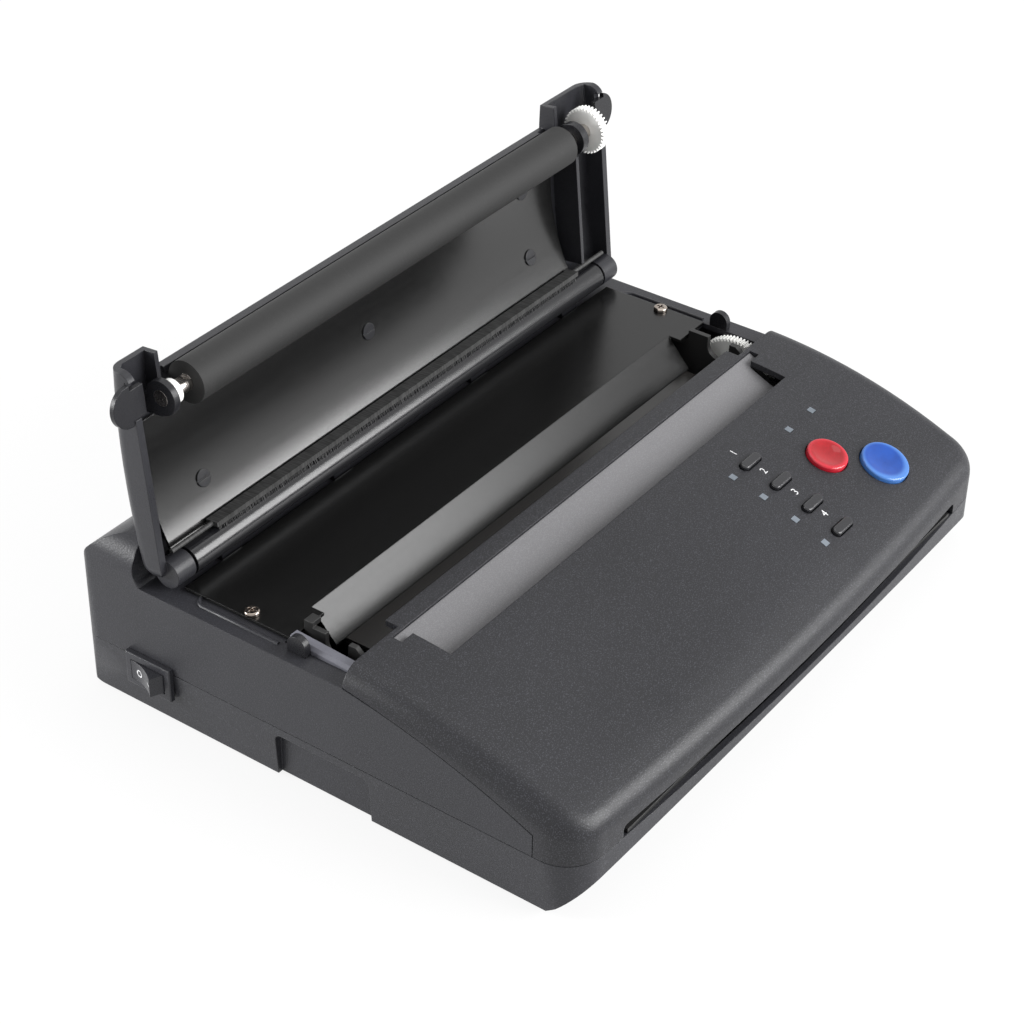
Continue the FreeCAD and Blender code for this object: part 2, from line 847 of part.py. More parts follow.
def led_pin(gap):
    s = led_size / 2 + gap
    high = touch_gap if gap == 0 else cut_over
    return box(-s, s, -s, s, -casing_wall - cover_rear_z / cover_rear_z, high)


def led_windows():
    places = [(led_x, y) for y in key_y] + [(x, status_led_y) for x in status_led_x]
    return Part.makeCompound([on_cover(led_pin(0), x, y) for x, y in places])


def round_button(radius):
    top = button_rise
    body = rod_z(-button_depth, top, 0, 0, radius)
    body = body.makeFillet(button_edge, [e for e in body.Edges if e.BoundBox.ZMin > top - tiny])
    bowl = radius - dish_rim - button_edge
    ball = (bowl ** 2 + dish_depth ** 2) / (2 * dish_depth)
    dish = Part.makeSphere(ball, V(0, 0, top - dish_depth + ball))
    sag = (radius + key_flange) ** 2 / (2 * cover_radius)
    low = -casing_wall - touch_gap - sag
    flange = rod_z(low - flange_thickness, low, 0, 0, radius + key_flange)
    return join(cut(body, dish), flange)


def key():
    body = key_shape(key_length, key_width, -key_depth, key_rise)
    body = body.makeFillet(button_edge, [e for e in body.Edges if e.BoundBox.ZMin > key_rise - tiny])
    low = -casing_wall - touch_gap
    flange = key_shape(key_length + 2 * key_flange, key_width + 2 * key_flange, low - flange_thickness, low)
    return join(body, flange)


def key_board():
    y1, z1 = board_front_y, cover_height(board_front_y) - board_depth
    y2, z2 = board_rear_y, cover_height(board_rear_y) - board_depth
    board = prism("x", board_left_x, board_right_x, (y1, z1), (y2, z2), (y2, z2 - board_thickness), (y1, z1 - board_thickness))
    switches = []
    places = [(key_x, y) for y in key_y] + [(stop_x, stop_y), (copy_x, copy_y)]
    for x, y in places:
        stub = rod_z(-board_depth - board_thickness, -board_depth + switch_height, 0, 0, switch_radius)
        switches.append(on_cover(stub, x, y))
    return join(board, *switches)


def document_tray():
    y1, z1 = tray_rear_y - touch_gap, tray_rear_z
    y2, z2 = tray_end_y, tray_end_z
    t = tray_thickness
    middle = ((y1 + y2) / 2, (z1 + z2) / 2 - tray_sag)
    lower = ((y1 + y2) / 2, (z1 + z2) / 2 - tray_sag - t)
    x = tray_ear_x - touch_gap
    floor = prism("x", -x, x, (y1, z1), (middle, (y2, z2)), (y2, z2 - t), (lower, (y1, z1 - t)))
    wide = floor.common(box(-x, x, tray_step_y, tray_rear_y, 0, z1))
    xi = tray_half_width - touch_gap
    narrow = floor.common(box(-xi, xi, tray_end_y, tray_step_y, 0, z1))
    under = cover_height(tray_rear_y) - casing_wall - touch_gap
    flange = box(-x, x, y1 - t, tray_rear_y + tray_flange, under - t, under)
    return join(wide, narrow, flange)


def document_guide():
    t = guide_thickness
    x = guide_half_width
    return prism("x", -x, x, (guide_start_y, guide_start_z), (guide_end_y, guide_end_z), (guide_lip_y, guide_lip_z),
                 (guide_lip_y, guide_lip_z - t), (guide_end_y, guide_end_z - t), (guide_start_y, guide_start_z - t))


# Scanning bar fixed under the sloping guide
def image_sensor():
    y1, y2 = sensor_front_y, sensor_rear_y
    run = guide_start_y - guide_end_y
    fall = guide_start_z - guide_end_z
    length = math.hypot(run, fall)
    drop = guide_thickness + touch_gap
    z1 = guide_start_z + (y1 - guide_start_y) * fall / run - drop
    z2 = guide_start_z + (y2 - guide_start_y) * fall / run - drop
    dy = sensor_depth * fall / length
    dz = sensor_depth * run / length
    x = sensor_half_length
    return prism("x", -x, x, (y1, z1), (y2, z2), (y2 + dy, z2 - dz), (y1 + dy, z1 - dz))


def deck_plate():
    t = deck_thickness
    z = deck_height
    plate = box(-deck_half_width, deck_half_width, deck_fold_y, deck_rear_y, z - t, z)
    wing = box(slope_half_width, deck_half_width, deck_wide_front_y, deck_fold_y, z - t, z)
    slope = prism("x", -slope_half_width, slope_half_width,
                  (deck_fold_y, z), (slope_end_y, slope_end_z), (slope_end_y, slope_end_z - t), (deck_fold_y, z - t))
    plate = join(plate, wing, mirrored(wing), slope)
    holes = [rod_z(0, z + t, x, deck_screw_y, screw_radius + running_fit) for x in (-deck_screw_x, deck_screw_x)]
    return cut(plate, *holes)


def deck_screws():
    low = deck_height + touch_gap
    head = rod_z(low, low + screw_head_height, deck_screw_x, deck_screw_y, screw_head_radius)
    head = head.makeFillet(screw_head_height / 2, [e for e in head.Edges if e.BoundBox.ZMin > low + tiny])
    shank = rod_z(low - screw_length, low, deck_screw_x, deck_screw_y, screw_radius)
    a = cross_length / 2
    b = cross_width / 2
    z = low + screw_head_height
    slots = [box(deck_screw_x - a, deck_screw_x + a, deck_screw_y - b, deck_screw_y + b, z - cross_depth, z),
             box(deck_screw_x - b, deck_screw_x + b, deck_screw_y - a, deck_screw_y + a, z - cross_depth, z)]
    return pair(cut(join(head, shank), *slots))


def hinge_barrel():
    bar = rod_x(-barrel_half_length, barrel_half_length, hinge_y, hinge_z, barrel_radius)
    feet = []
    for x in barrel_foot_x:
        a = barrel_foot_width / 2
        b = barrel_foot_depth / 2
        foot = box(x - a, x + a, hinge_y - b, hinge_y + b, wall_height + touch_gap, hinge_z)
        feet += [foot, mirrored(foot)]
    bore = rod_x(-rod_half_length, rod_half_length, hinge_y, hinge_z, rod_radius + running_fit)
    return cut(join(bar, *feet), bore)


def hinge_rod():
    return rod_x(-rod_half_length, rod_half_length, hinge_y, hinge_z, rod_radius)


skin_a, skin_b, skin_radius = circle_through(
    (ear_tip_w, ear_end_u), (lid_crown_w, lid_crown_u), (lid_tail_w, lid_tail_u))


def skin_w(u, inset=0):
    return skin_a + math.sqrt((skin_radius - inset) ** 2 - (u - skin_b) ** 2)


# Point on the rounded tail, which leaves the skin smoothly and turns in under the hinge
def tail_point(share, inset):
    lean = math.atan2(lid_tail_u - skin_b, lid_tail_w - skin_a)
    a = lid_tail_w - lid_tail_radius * math.cos(lean)
    b = lid_tail_u - lid_tail_radius * math.sin(lean)
    r = lid_tail_radius - inset
    angle = lean - share * (lean + math.pi / 2)
    return (a + r * math.cos(angle), b + r * math.sin(angle))


# The lid as a block with rounded sides; the inner one is set in by the walls
def lid_block(side_inset, inset):
    top_u = ear_end_u + (cut_over if inset else 0)
    start = tail_point(0, inset)
    end = tail_point(1, inset)
    low = lid_low_w
    middle = (top_u + start[1]) / 2
    x = lid_half_width - side_inset
    body = prism("x", -x, x, (skin_w(top_u, inset), top_u), ((skin_w(middle, inset), middle), start),
                 (tail_point(1 / 2, inset), end), (low, end[1]), (low, top_u))
    arcs = []
    for edge in body.Edges:
        bounds = edge.BoundBox
        if bounds.XMax - bounds.XMin < tiny and edge.Curve.TypeId == "Part::GeomCircle":
            arcs.append(edge)
    return body.makeFillet(lid_side_radius - inset, arcs)


# Wall standing on a rim, up into the skin
def above_rim(x1, x2, rim):
    top = lid_crown_w + cut_over
    last = rim[-1][1] if isinstance(rim[-1][0], tuple) else rim[-1]
    return prism("x", x1, x2, *rim, (top, last[1]), (top, rim[0][1]))


def lid_shell():
    block = lid_block(0, 0)
    x = lid_half_width
    skin = cut(block, lid_block(lid_side_wall, lid_wall), box(
        -half_width, half_width, -half_width, tail_cut_w, -half_width, half_width))
    gap = box(left_leg_x, right_leg_x, lid_low_w - cut_over, lid_crown_w + cut_over, lid_length, ear_end_u + tiny)
    edge_u = lid_length - lid_wall
    lip = box(roller_left_x, roller_right_x, lid_lip_w, skin_w(lid_length), edge_u, lid_length)
    inner_x = x - lid_side_wall
    wall = above_rim(inner_x, x, [
        (rim_low_w, rim_low_u), ((rim_bend_w, rim_bend_u), (outer_rim_w, rim_start_u)),
        (outer_rim_w, rim_turn_u), ((rim_corner_w, rim_corner_u), (rim_tip_w, ear_end_u))])
    disc = rod_x(knuckle_inner_x, inner_x, 0, 0, knuckle_radius)
    rib = above_rim(rib_x, rib_x + rib_width, [(rib_rim_w, rib_low_u), (rib_rim_w, rib_turn_u)])
    left_leg = above_rim(left_leg_x, left_leg_x + rib_width, [(ear_leg_w, ear_start_u), (ear_leg_w, ear_end_u)])
    right_leg = above_rim(right_leg_x, right_leg_x + rib_width, [(ear_leg_w, ear_start_u), (ear_leg_w, ear_end_u)])
    whole = join(cut(skin, gap), lip, wall, mirrored(wall), rib, left_leg, right_leg).common(block)
    whole = join(whole, disc, mirrored(disc))
    g = seam_gap
    notch = box(inner_x - tiny, half_width, tab_low_w - cut_over, tab_high_w + g,
                tab_u - tab_half_root - g, tab_u + tab_half_root + tab_travel + g)
    bore = rod_x(-rod_half_length - g, rod_half_length + g, 0, 0, rod_radius + running_fit)
    return on_lid(solid(cut(whole, notch, mirrored(notch), bore)))


plate_a, plate_b, plate_radius = circle_through(
    (plate_top_w, plate_top_u), (plate_middle_w, plate_middle_u), (plate_low_w, plate_low_u))


def plate_w(u, inset=0):
    return plate_a + math.sqrt((plate_radius + inset) ** 2 - (u - plate_b) ** 2)


def lid_inner_plate():
    t = plate_thickness
    middle = (plate_top_u + plate_low_u) / 2
    plate = prism("x", plate_left_x, plate_right_x,
                  (plate_w(plate_top_u), plate_top_u), ((plate_w(middle), middle), (plate_w(plate_low_u), plate_low_u)),
                  (plate_w(plate_low_u, t), plate_low_u),
                  ((plate_w(middle, t), middle), (plate_w(plate_top_u, t), plate_top_u)))
    return on_lid(plate)


def on_plate(shape, x, u):
    shape = shape.copy()
    shape.rotate(origin, x_axis, math.degrees(math.asin((u - plate_b) / plate_radius)))
    shape.translate(V(x, plate_w(u), u))
    return shape


def lid_plugs():
    plugs = []
    for x, u in plug_places:
        plug = Part.makeCylinder(plug_radius, plug_rise, V(0, -plug_rise - touch_gap, 0), V(0, 1, 0))
        a = plug_radius
        b = plug_slot / 2
        slot = box(-a, a, -plug_rise - touch_gap, -plug_rise / 2, -b, b)
        plugs.append(on_lid(on_plate(cut(plug, slot), x, u)))
    return Part.makeCompound(plugs)


def brush_strip():
    strip = box(-brush_half_length, brush_half_length, brush_front_w, brush_rear_w, brush_low_u, brush_high_u)
    w = (brush_front_w + brush_rear_w) / 2
    u = (brush_low_u + brush_high_u) / 2
    pin = rod_x(brush_half_length - pin_radius, pin_outer_x, w, u, pin_radius)
    return on_lid(join(strip, pin, mirrored(pin)))


def platen_roller():
    body = rod_x(roller_left_x, roller_right_x, platen_w, platen_u, roller_radius)
    return on_lid(cut(body, rod_x(-half_width, half_width, platen_w, platen_u, shaft_radius + running_fit)))


def platen_shaft():
    shaft = rod_x(shaft_left_x, shaft_right_x, platen_w, platen_u, shaft_radius)
    low = platen_u + shaft_radius - shaft_flat
    flat_left = box(-bush_inner_x + touch_gap, roller_left_x - touch_gap,
                    platen_w - shaft_radius, platen_w + shaft_radius, low, ear_end_u)
    return on_lid(cut(shaft, flat_left))


def platen_gear():
    turn = mesh_tilt + 180.0 - lid_lean + lid_swing
    x2 = platen_gear_x + platen_gear_width
    wheel = gear(platen_gear_x, x2, platen_w, platen_u, platen_gear_teeth, turn)
    hub = rod_x(x2, x2 + gear_hub_width, platen_w, platen_u, gear_hub_radius)
    bore = rod_x(0, half_width, platen_w, platen_u, shaft_radius + running_fit)
    return on_lid(cut(join(wheel, hub), bore))


def lug(x1, x2):
    disc = rod_x(x1, x2, platen_w, platen_u, lug_radius)
    block = box(x1, x2, platen_w, lug_top_w, lug_low_u, platen_u)
    bore = rod_x(x1 - tiny, x2 + tiny, platen_w, platen_u, shaft_radius + running_fit)
    return on_lid(cut(join(disc, block), bore))


def platen_bush():
    bush = rod_x(-bush_outer_x, -bush_inner_x, platen_w, platen_u, bush_radius)
    return on_lid(cut(bush, rod_x(-half_width, half_width, platen_w, platen_u, shaft_radius + running_fit)))


def platen_clip():
    x1 = right_lug_outer_x + touch_gap
    ring = rod_x(x1, x1 + clip_width, platen_w, platen_u, clip_radius)
    return on_lid(cut(ring, rod_x(0, half_width, platen_w, platen_u, shaft_radius + running_fit)))


def release_tab(x):
    disc = Part.makeCylinder(tab_radius, tab_high_w - tab_low_w, V(x, tab_low_w, tab_u), V(0, 1, 0))
    disc = disc.common(box(tab_clear_x, half_width + cut_over, -half_width, half_width, 0, half_width))
    tongue = box(tab_inner_x, tab_clear_x + tiny, tab_low_w, tab_high_w, tab_nose_u, tab_u + tab_half_root)
    return on_lid(join(disc, tongue))


def side_frame(x1, x2, left):
    z2 = frame_notch_z
    plate = prism("x", x1, x2, (frame_front_y, frame_low_z), (frame_front_y, frame_front_z),
                  (cover_corner_y - cut_over / 2, frame_front_z), (cover_corner_y, wall_height - ledge_thickness),
                  (frame_top_front_y, z2), (frame_top_rear_y, z2),
                  (frame_top_rear_y, frame_rear_z), (frame_rear_y, frame_rear_z), (frame_rear_y, frame_low_z))
    r = notch_radius
    lead = notch_lead
    notch = rod_x(x1 - tiny, x2 + tiny, closed_y, closed_z, r)
    throat = prism("x", x1 - tiny, x2 + tiny, (closed_y - r, closed_z), (closed_y + r, closed_z),
                   (closed_y + r, z2 + cut_over), (closed_y - r - lead, z2 + cut_over))
    plate = cut(plate, notch, throat)
    if left:
        tab = box(x1, -frame_tab_x, frame_tab_front_y, frame_top_rear_y, z2 - tiny, frame_tab_z)
        hook = box(x1, x2, frame_tab_front_y, frame_top_rear_y, z2 - tray_thickness, z2)
        plate = join(plate, tab, hook)
        shafts = ((feed_y, feed_z, shaft_radius), (feed_idler_y, feed_idler_z, axle_radius),
                  (feed_pinion_y, feed_pinion_z, motor_boss_radius))
    else:
        shafts = ((feed_y, feed_z, shaft_radius), (drive_y, drive_z, axle_radius),
                  (drive_idler_y, drive_idler_z, axle_radius), (drive_pinion_y, drive_pinion_z, motor_boss_radius))
    for y, z, radius in shafts:
        plate = cut(plate, rod_x(x1 - tiny, x2 + tiny, y, z, radius + running_fit))
    return plate


def latch_posts():
    z1 = wall_height + touch_gap
    r = (latch_rear_y - latch_front_y) / 2
    y = (latch_rear_y + latch_front_y) / 2
    post = join(box(latch_inner_x, latch_outer_x, latch_front_y, latch_rear_y, z1, latch_top_z - r),
                rod_x(latch_inner_x, latch_outer_x, y, latch_top_z - r, r))
    return pair(post.common(box(latch_inner_x, latch_outer_x, latch_front_y, latch_rear_y, z1, latch_top_z)))


# Pale bar beside the left well, with its top running slightly down towards the front
def trim_bar():
    x = -ledge_well_x + touch_gap
    y1 = cover_corner_y + trim_bar_gap
    bar = prism("x", x, x + trim_bar_width, (y1, trim_bar_front_z), (frame_top_rear_y, frame_notch_z),
                (frame_top_rear_y, wall_height - ledge_thickness), (y1, wall_height - ledge_thickness))
    return bar.makeChamfer(trim_bar_bevel, [e for e in bar.Edges if outer_top(e, x)])


def outer_top(edge, x):
    bounds = edge.BoundBox
    return bounds.XMax < x + tiny and bounds.ZMin > wall_height and bounds.YLength > trim_bar_width


def thermal_head():
    return box(-head_half_length, head_half_length, head_front_y, head_rear_y, head_top_z - head_thickness, head_top_z)


def heat_sink():
    top = head_top_z - head_thickness - touch_gap
    x = head_half_length
    body = box(-x, x, head_front_y, head_rear_y, top - sink_base, top)
    span = head_rear_y - head_front_y - fin_width
    fins = []
    for fin in range(fin_count):
        y = head_front_y + span * fin / (fin_count - 1)
        fins.append(box(-x, x, y, y + fin_width, sink_low_z, top - sink_base))
    return join(body, *fins)


def head_beam():
    return box(-left_frame_inner_x + touch_gap, right_frame_inner_x - touch_gap, beam_front_y, beam_rear_y,
               beam_low_z, sink_low_z - touch_gap)


def drive_gear():
    x1, x2, x3 = drive_inner_x, drive_step_x, wheel_outer_x
    small = gear(x1, x2, drive_y, drive_z, drive_teeth, mesh_tilt + 180.0 / drive_teeth)
    large = gear(x2, x3, drive_y, drive_z, wheel_teeth, wheel_turn)
    bore = rod_x(x1 - tiny, x3 + tiny, drive_y, drive_z, axle_radius + running_fit)
    return cut(join(small, large), bore)


drive_idler_turn = mating_turn(drive_pinion_bearing + 180.0, pinion_teeth, drive_idler_teeth, drive_pinion_bearing + 180.0)
wheel_turn = mating_turn(drive_idler_turn, drive_idler_teeth, wheel_teeth, drive_idler_bearing + 180.0)
feed_idler_turn = mating_turn(feed_pinion_bearing + 180.0, pinion_teeth, feed_idler_teeth, feed_pinion_bearing + 180.0)
feed_turn = mating_turn(feed_idler_turn, feed_idler_teeth, feed_teeth, feed_idler_bearing + 180.0)


def drive_idler():
    wheel = gear(drive_step_x, wheel_outer_x, drive_idler_y, drive_idler_z, drive_idler_teeth, drive_idler_turn)
    return cut(wheel, rod_x(0, half_width, drive_idler_y, drive_idler_z, axle_radius + running_fit))


def drive_axles():
    rods = [rod_x(right_frame_inner_x, axle_outer_x, y, z, axle_radius)
            for y, z in ((drive_y, drive_z), (drive_idler_y, drive_idler_z))]
    return Part.makeCompound(rods)


def drive_pinion():
    wheel = gear(drive_step_x, wheel_outer_x, drive_pinion_y, drive_pinion_z, pinion_teeth, drive_pinion_bearing + 180.0)
    shaft = rod_x(right_frame_inner_x - motor_boss_length, drive_step_x, drive_pinion_y, drive_pinion_z, motor_shaft_radius)
    return join(wheel, shaft)


def drive_motor():
    x2 = right_frame_inner_x - touch_gap
    can = rod_x(x2 - motor_length, x2, drive_pinion_y, drive_pinion_z, motor_radius)
    boss = rod_x(x2, x2 + motor_boss_length, drive_pinion_y, drive_pinion_z, motor_boss_radius)
    bore = rod_x(x2 - motor_boss_length - touch_gap, half_width, drive_pinion_y, drive_pinion_z, motor_shaft_radius + running_fit)
    return cut(join(can, boss), bore)


def feed_motor():
    x2 = -left_frame_inner_x + touch_gap
    can = rod_x(x2, x2 + feed_motor_length, feed_pinion_y, feed_pinion_z, feed_motor_radius)
    boss = rod_x(x2 - motor_boss_length, x2, feed_pinion_y, feed_pinion_z, motor_boss_radius)
    bore = rod_x(-half_width, x2 + motor_boss_length + touch_gap, feed_pinion_y, feed_pinion_z, motor_shaft_radius + running_fit)
    return cut(join(can, boss), bore)


def feed_pinion():
    x1 = -feed_gear_x - feed_gear_width
    wheel = gear(x1, -feed_gear_x, feed_pinion_y, feed_pinion_z, pinion_teeth, feed_pinion_bearing + 180.0)
    shaft = rod_x(-feed_gear_x, -left_frame_inner_x + motor_boss_length, feed_pinion_y, feed_pinion_z, motor_shaft_radius)
    return join(wheel, shaft)


def feed_idler():
    wheel = gear(-feed_gear_x - feed_gear_width, -feed_gear_x, feed_idler_y, feed_idler_z, feed_idler_teeth, feed_idler_turn)
    return cut(wheel, rod_x(-half_width, 0, feed_idler_y, feed_idler_z, axle_radius + running_fit))


def feed_axle():
    return rod_x(-feed_gear_x - feed_gear_width - seam_gap, -left_frame_inner_x, feed_idler_y, feed_idler_z, axle_radius)


def feed_gear():
    wheel = gear(-feed_gear_x - feed_gear_width, -feed_gear_x, feed_y, feed_z, feed_teeth, feed_turn)
    return cut(wheel, rod_x(-half_width, 0, feed_y, feed_z, shaft_radius + running_fit))


def feed_shaft():
    return rod_x(-feed_gear_x - feed_gear_width - seam_gap, right_frame_outer_x + seam_gap, feed_y, feed_z, shaft_radius)


def feed_roller():
    body = rod_x(-feed_half_length, feed_half_length, feed_y, feed_z, feed_radius)
    return cut(body, rod_x(-half_width, half_width, feed_y, feed_z, shaft_radius + running_fit))


def main_board():
    board = box(*board_box)
    posts = []
    for x in (-board_post_x, board_post_x):
        for y in (board_post_front_y, board_post_rear_y):
            posts.append(rod_z(foot_height + casing_wall + touch_gap, board_box[4], x, y, board_post_radius))
    return join(board, *posts)


def power_board():
    board = box(*supply_box)
    cap = rod_z(supply_box[5], supply_box[5] + supply_cap_height, supply_cap_x, supply_cap_y, supply_cap_radius)
    coil = box(*supply_coil_box)
    low = foot_height + casing_wall + touch_gap
    posts = []
    for x in (supply_box[0] + board_post_radius, supply_box[1] - board_post_radius):
        for y in (supply_box[2] + board_post_radius, supply_box[3] - board_post_radius):
            posts.append(rod_z(low, supply_box[4], x, y, board_post_radius))
    return Part.makeCompound([join(board, cap, *posts), coil])


def power_inlet():
    x1, x2, z1, z2 = inlet_left_x, inlet_right_x, inlet_low_z, inlet_high_z
    y2 = rear_y + touch_gap
    t = inlet_wall
    f = inlet_flange
    body = box(x1, x2, y2 - inlet_depth, y2, z1, z2)
    flange = box(x1 - f, x2 + f, y2, y2 + f, z1 - f, z2 + f)
    pocket = box(x1 + t, x2 - t, y2 - inlet_depth + t, y2 + f + t, z1 + t, z2 - t)
    shell = cut(join(body, flange), pocket)
    x = (x1 + x2) / 2
    z = (z1 + z2) / 2
    blades = []
    for side in (-1, 0, 1):
        a = x + side * inlet_blade_pitch
        b = z + (1 - abs(side)) * inlet_blade_height
        blades.append(box(a - inlet_blade_width / 2, a + inlet_blade_width / 2,
                          y2 - inlet_depth + t - tiny, y2 - inlet_depth + t + inlet_blade_length,
                          b - inlet_blade_height, b))
    return join(shell, *blades)


def switch_housing():
    y1, y2, z1, z2 = switch_opening()
    outer = box(-switch_face_x, -half_width - touch_gap, switch_front_y, switch_rear_y, switch_low_z, switch_high_z)
    outer = outer.makeFillet(switch_bezel / 2, [e for e in outer.Edges if e.BoundBox.XMax < -switch_face_x + tiny])
    x2 = -half_width + switch_body_depth
    body = box(-half_width - touch_gap, x2, y1, y2, z1, z2)
    t = switch_bezel
    pocket = box(-switch_face_x - tiny, x2 - t, y1 + t, y2 - t, z1 + t, z2 - t)
    pin_y = (y1 + y2) / 2
    pin = rod_z(z1, z2, -rocker_pivot_x, pin_y, rocker_pivot_radius)
    return join(cut(join(outer, body), pocket), pin)


# Drawn level, with s along Y and n outward, then tipped so that its front end stands out
def power_rocker():
    y1, y2, z1, z2 = switch_opening()
    t = switch_bezel
    g = rocker_gap
    x = -rocker_pivot_x
    y = (y1 + y2) / 2
    root = x - rocker_root_n
    waist = x - rocker_waist_n
    end = x - rocker_end_n
    body = prism("z", z1 + t + g, z2 - t - g,
                 (root, y - rocker_root_s), (waist, y - rocker_waist_s), (end, y - rocker_end_s),
                 ((end + rocker_dish, y), (end, y + rocker_end_s)),
                 (waist, y + rocker_waist_s), (root, y + rocker_root_s))
    body = cut(body, rod_z(z1, z2, x, y, rocker_pivot_radius + running_fit))
    body.rotate(V(x, y, 0), V(0, 0, 1), -rocker_tilt)
    return body


def rubber_feet():
    feet = []
    for x in (-foot_x, foot_x):
        for y in (foot_front_y, foot_rear_y):
            foot = rod_z(0, foot_height - touch_gap, x, y, foot_radius)
            feet.append(foot.makeFillet(foot_height / 3, [e for e in foot.Edges if e.BoundBox.ZMax < tiny]))
    return Part.makeCompound(feet)


pieces = {
    "base_shell": base_shell,
    "upper_shell": upper_shell,
    "front_cover": front_cover,
    "document_tray": document_tray,
    "document_guide": document_guide,
    "led_windows": led_windows,
    "stop_button": lambda: on_cover(round_button(stop_radius), stop_x, stop_y),
    "copy_button": lambda: on_cover(round_button(copy_radius), copy_x, copy_y),
    "key_1": lambda: on_cover(key(), key_x, key_y[0]),
    "key_2": lambda: on_cover(key(), key_x, key_y[1]),
    "key_3": lambda: on_cover(key(), key_x, key_y[2]),
    "key_4": lambda: on_cover(key(), key_x, key_y[3]),
    "key_board": key_board,
    "deck_plate": deck_plate,
    "deck_screws": deck_screws,
    "hinge_barrel": hinge_barrel,
    "hinge_rod": hinge_rod,
    "lid_shell": lid_shell,
    "lid_inner_plate": lid_inner_plate,
    "lid_plugs": lid_plugs,
    "brush_strip": brush_strip,
    "platen_roller": platen_roller,
    "platen_shaft": platen_shaft,
    "platen_gear": platen_gear,
    "platen_bearing_left": lambda: lug(-left_lug_outer_x, -left_lug_inner_x),
    "platen_bearing_right": lambda: lug(right_lug_inner_x, right_lug_outer_x),
    "platen_bush": platen_bush,
    "platen_clip": platen_clip,
    "release_tab_right": lambda: release_tab(right_tab_x),
    "release_tab_left": lambda: mirrored(release_tab(left_tab_x)),
    "side_frame_left": lambda: side_frame(-left_frame_outer_x, -left_frame_inner_x, True),
    "side_frame_right": lambda: side_frame(right_frame_inner_x, right_frame_outer_x, False),
    "latch_posts": latch_posts,
    "trim_bar": trim_bar,
    "thermal_head": thermal_head,
    "heat_sink": heat_sink,
    "head_beam": head_beam,
    "drive_gear": drive_gear,
    "drive_idler": drive_idler,
    "drive_axles": drive_axles,
    "drive_pinion": drive_pinion,
    "drive_motor": drive_motor,
    "feed_roller": feed_roller,
    "feed_shaft": feed_shaft,
    "feed_gear": feed_gear,
    "feed_idler": feed_idler,
    "feed_axle": feed_axle,
    "feed_pinion": feed_pinion,
    "feed_motor": feed_motor,
    "image_sensor": image_sensor,
    "main_board": main_board,
    "power_board": power_board,
    "power_inlet": power_inlet,
    "switch_housing": switch_housing,
    "power_rocker": power_rocker,
    "rubber_feet": rubber_feet,
}

os.makedirs("parts", exist_ok=True)
for name, make in pieces.items():
    shape = make()
    print(name, len(shape.Solids), round(shape.Volume), shape.isValid())
    shape.exportStep("parts/" + name + ".step")
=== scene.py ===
# Looks of the thermal stencil copier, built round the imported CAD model.
import math

import bpy
import numpy as np
from mathutils import Matrix, Vector


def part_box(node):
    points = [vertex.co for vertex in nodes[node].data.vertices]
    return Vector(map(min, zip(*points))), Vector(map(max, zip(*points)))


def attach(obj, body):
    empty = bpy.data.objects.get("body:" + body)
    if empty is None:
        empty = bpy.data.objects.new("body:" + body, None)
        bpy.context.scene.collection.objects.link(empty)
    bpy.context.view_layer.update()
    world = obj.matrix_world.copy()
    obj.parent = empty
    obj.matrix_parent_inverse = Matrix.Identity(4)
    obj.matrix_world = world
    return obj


print("frame")
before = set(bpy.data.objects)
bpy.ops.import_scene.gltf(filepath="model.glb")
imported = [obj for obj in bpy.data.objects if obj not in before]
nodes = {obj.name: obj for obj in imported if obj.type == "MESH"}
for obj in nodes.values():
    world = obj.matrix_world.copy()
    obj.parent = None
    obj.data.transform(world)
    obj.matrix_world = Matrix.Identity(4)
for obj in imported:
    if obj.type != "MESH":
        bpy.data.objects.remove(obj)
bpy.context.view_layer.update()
scene = bpy.context.scene
scene.view_settings.view_transform = "Standard"
noiseMiddle = 0.5


# Shader maths written as Python: one output socket, with the operators used below
class Link:
    def __init__(self, surface, socket):
        self.surface = surface
        self.socket = socket

    def maths(self, operation, *values):
        return self.surface.node("ShaderNodeMath", {"operation": operation}, list(values))

    def __add__(self, other):
        return self.maths("ADD", self, other)

    def __radd__(self, other):
        return self.maths("ADD", other, self)

    def __sub__(self, other):
        return self.maths("SUBTRACT", self, other)

    def __rsub__(self, other):
        return self.maths("SUBTRACT", other, self)

    def __mul__(self, other):
        return self.maths("MULTIPLY", self, other)

    def __truediv__(self, other):
        return self.maths("DIVIDE", self, other)

    def swing(self):  # a noise value moved to lie about zero
        return self - noiseMiddle

    def above(self, edge, width):  # 0 below the edge, 1 above it, smooth over the width
        return self.surface.node("ShaderNodeMapRange", {"interpolation_type": "SMOOTHSTEP"},
                                 {"Value": self, "From Min": edge - width / 2, "From Max": edge + width / 2})


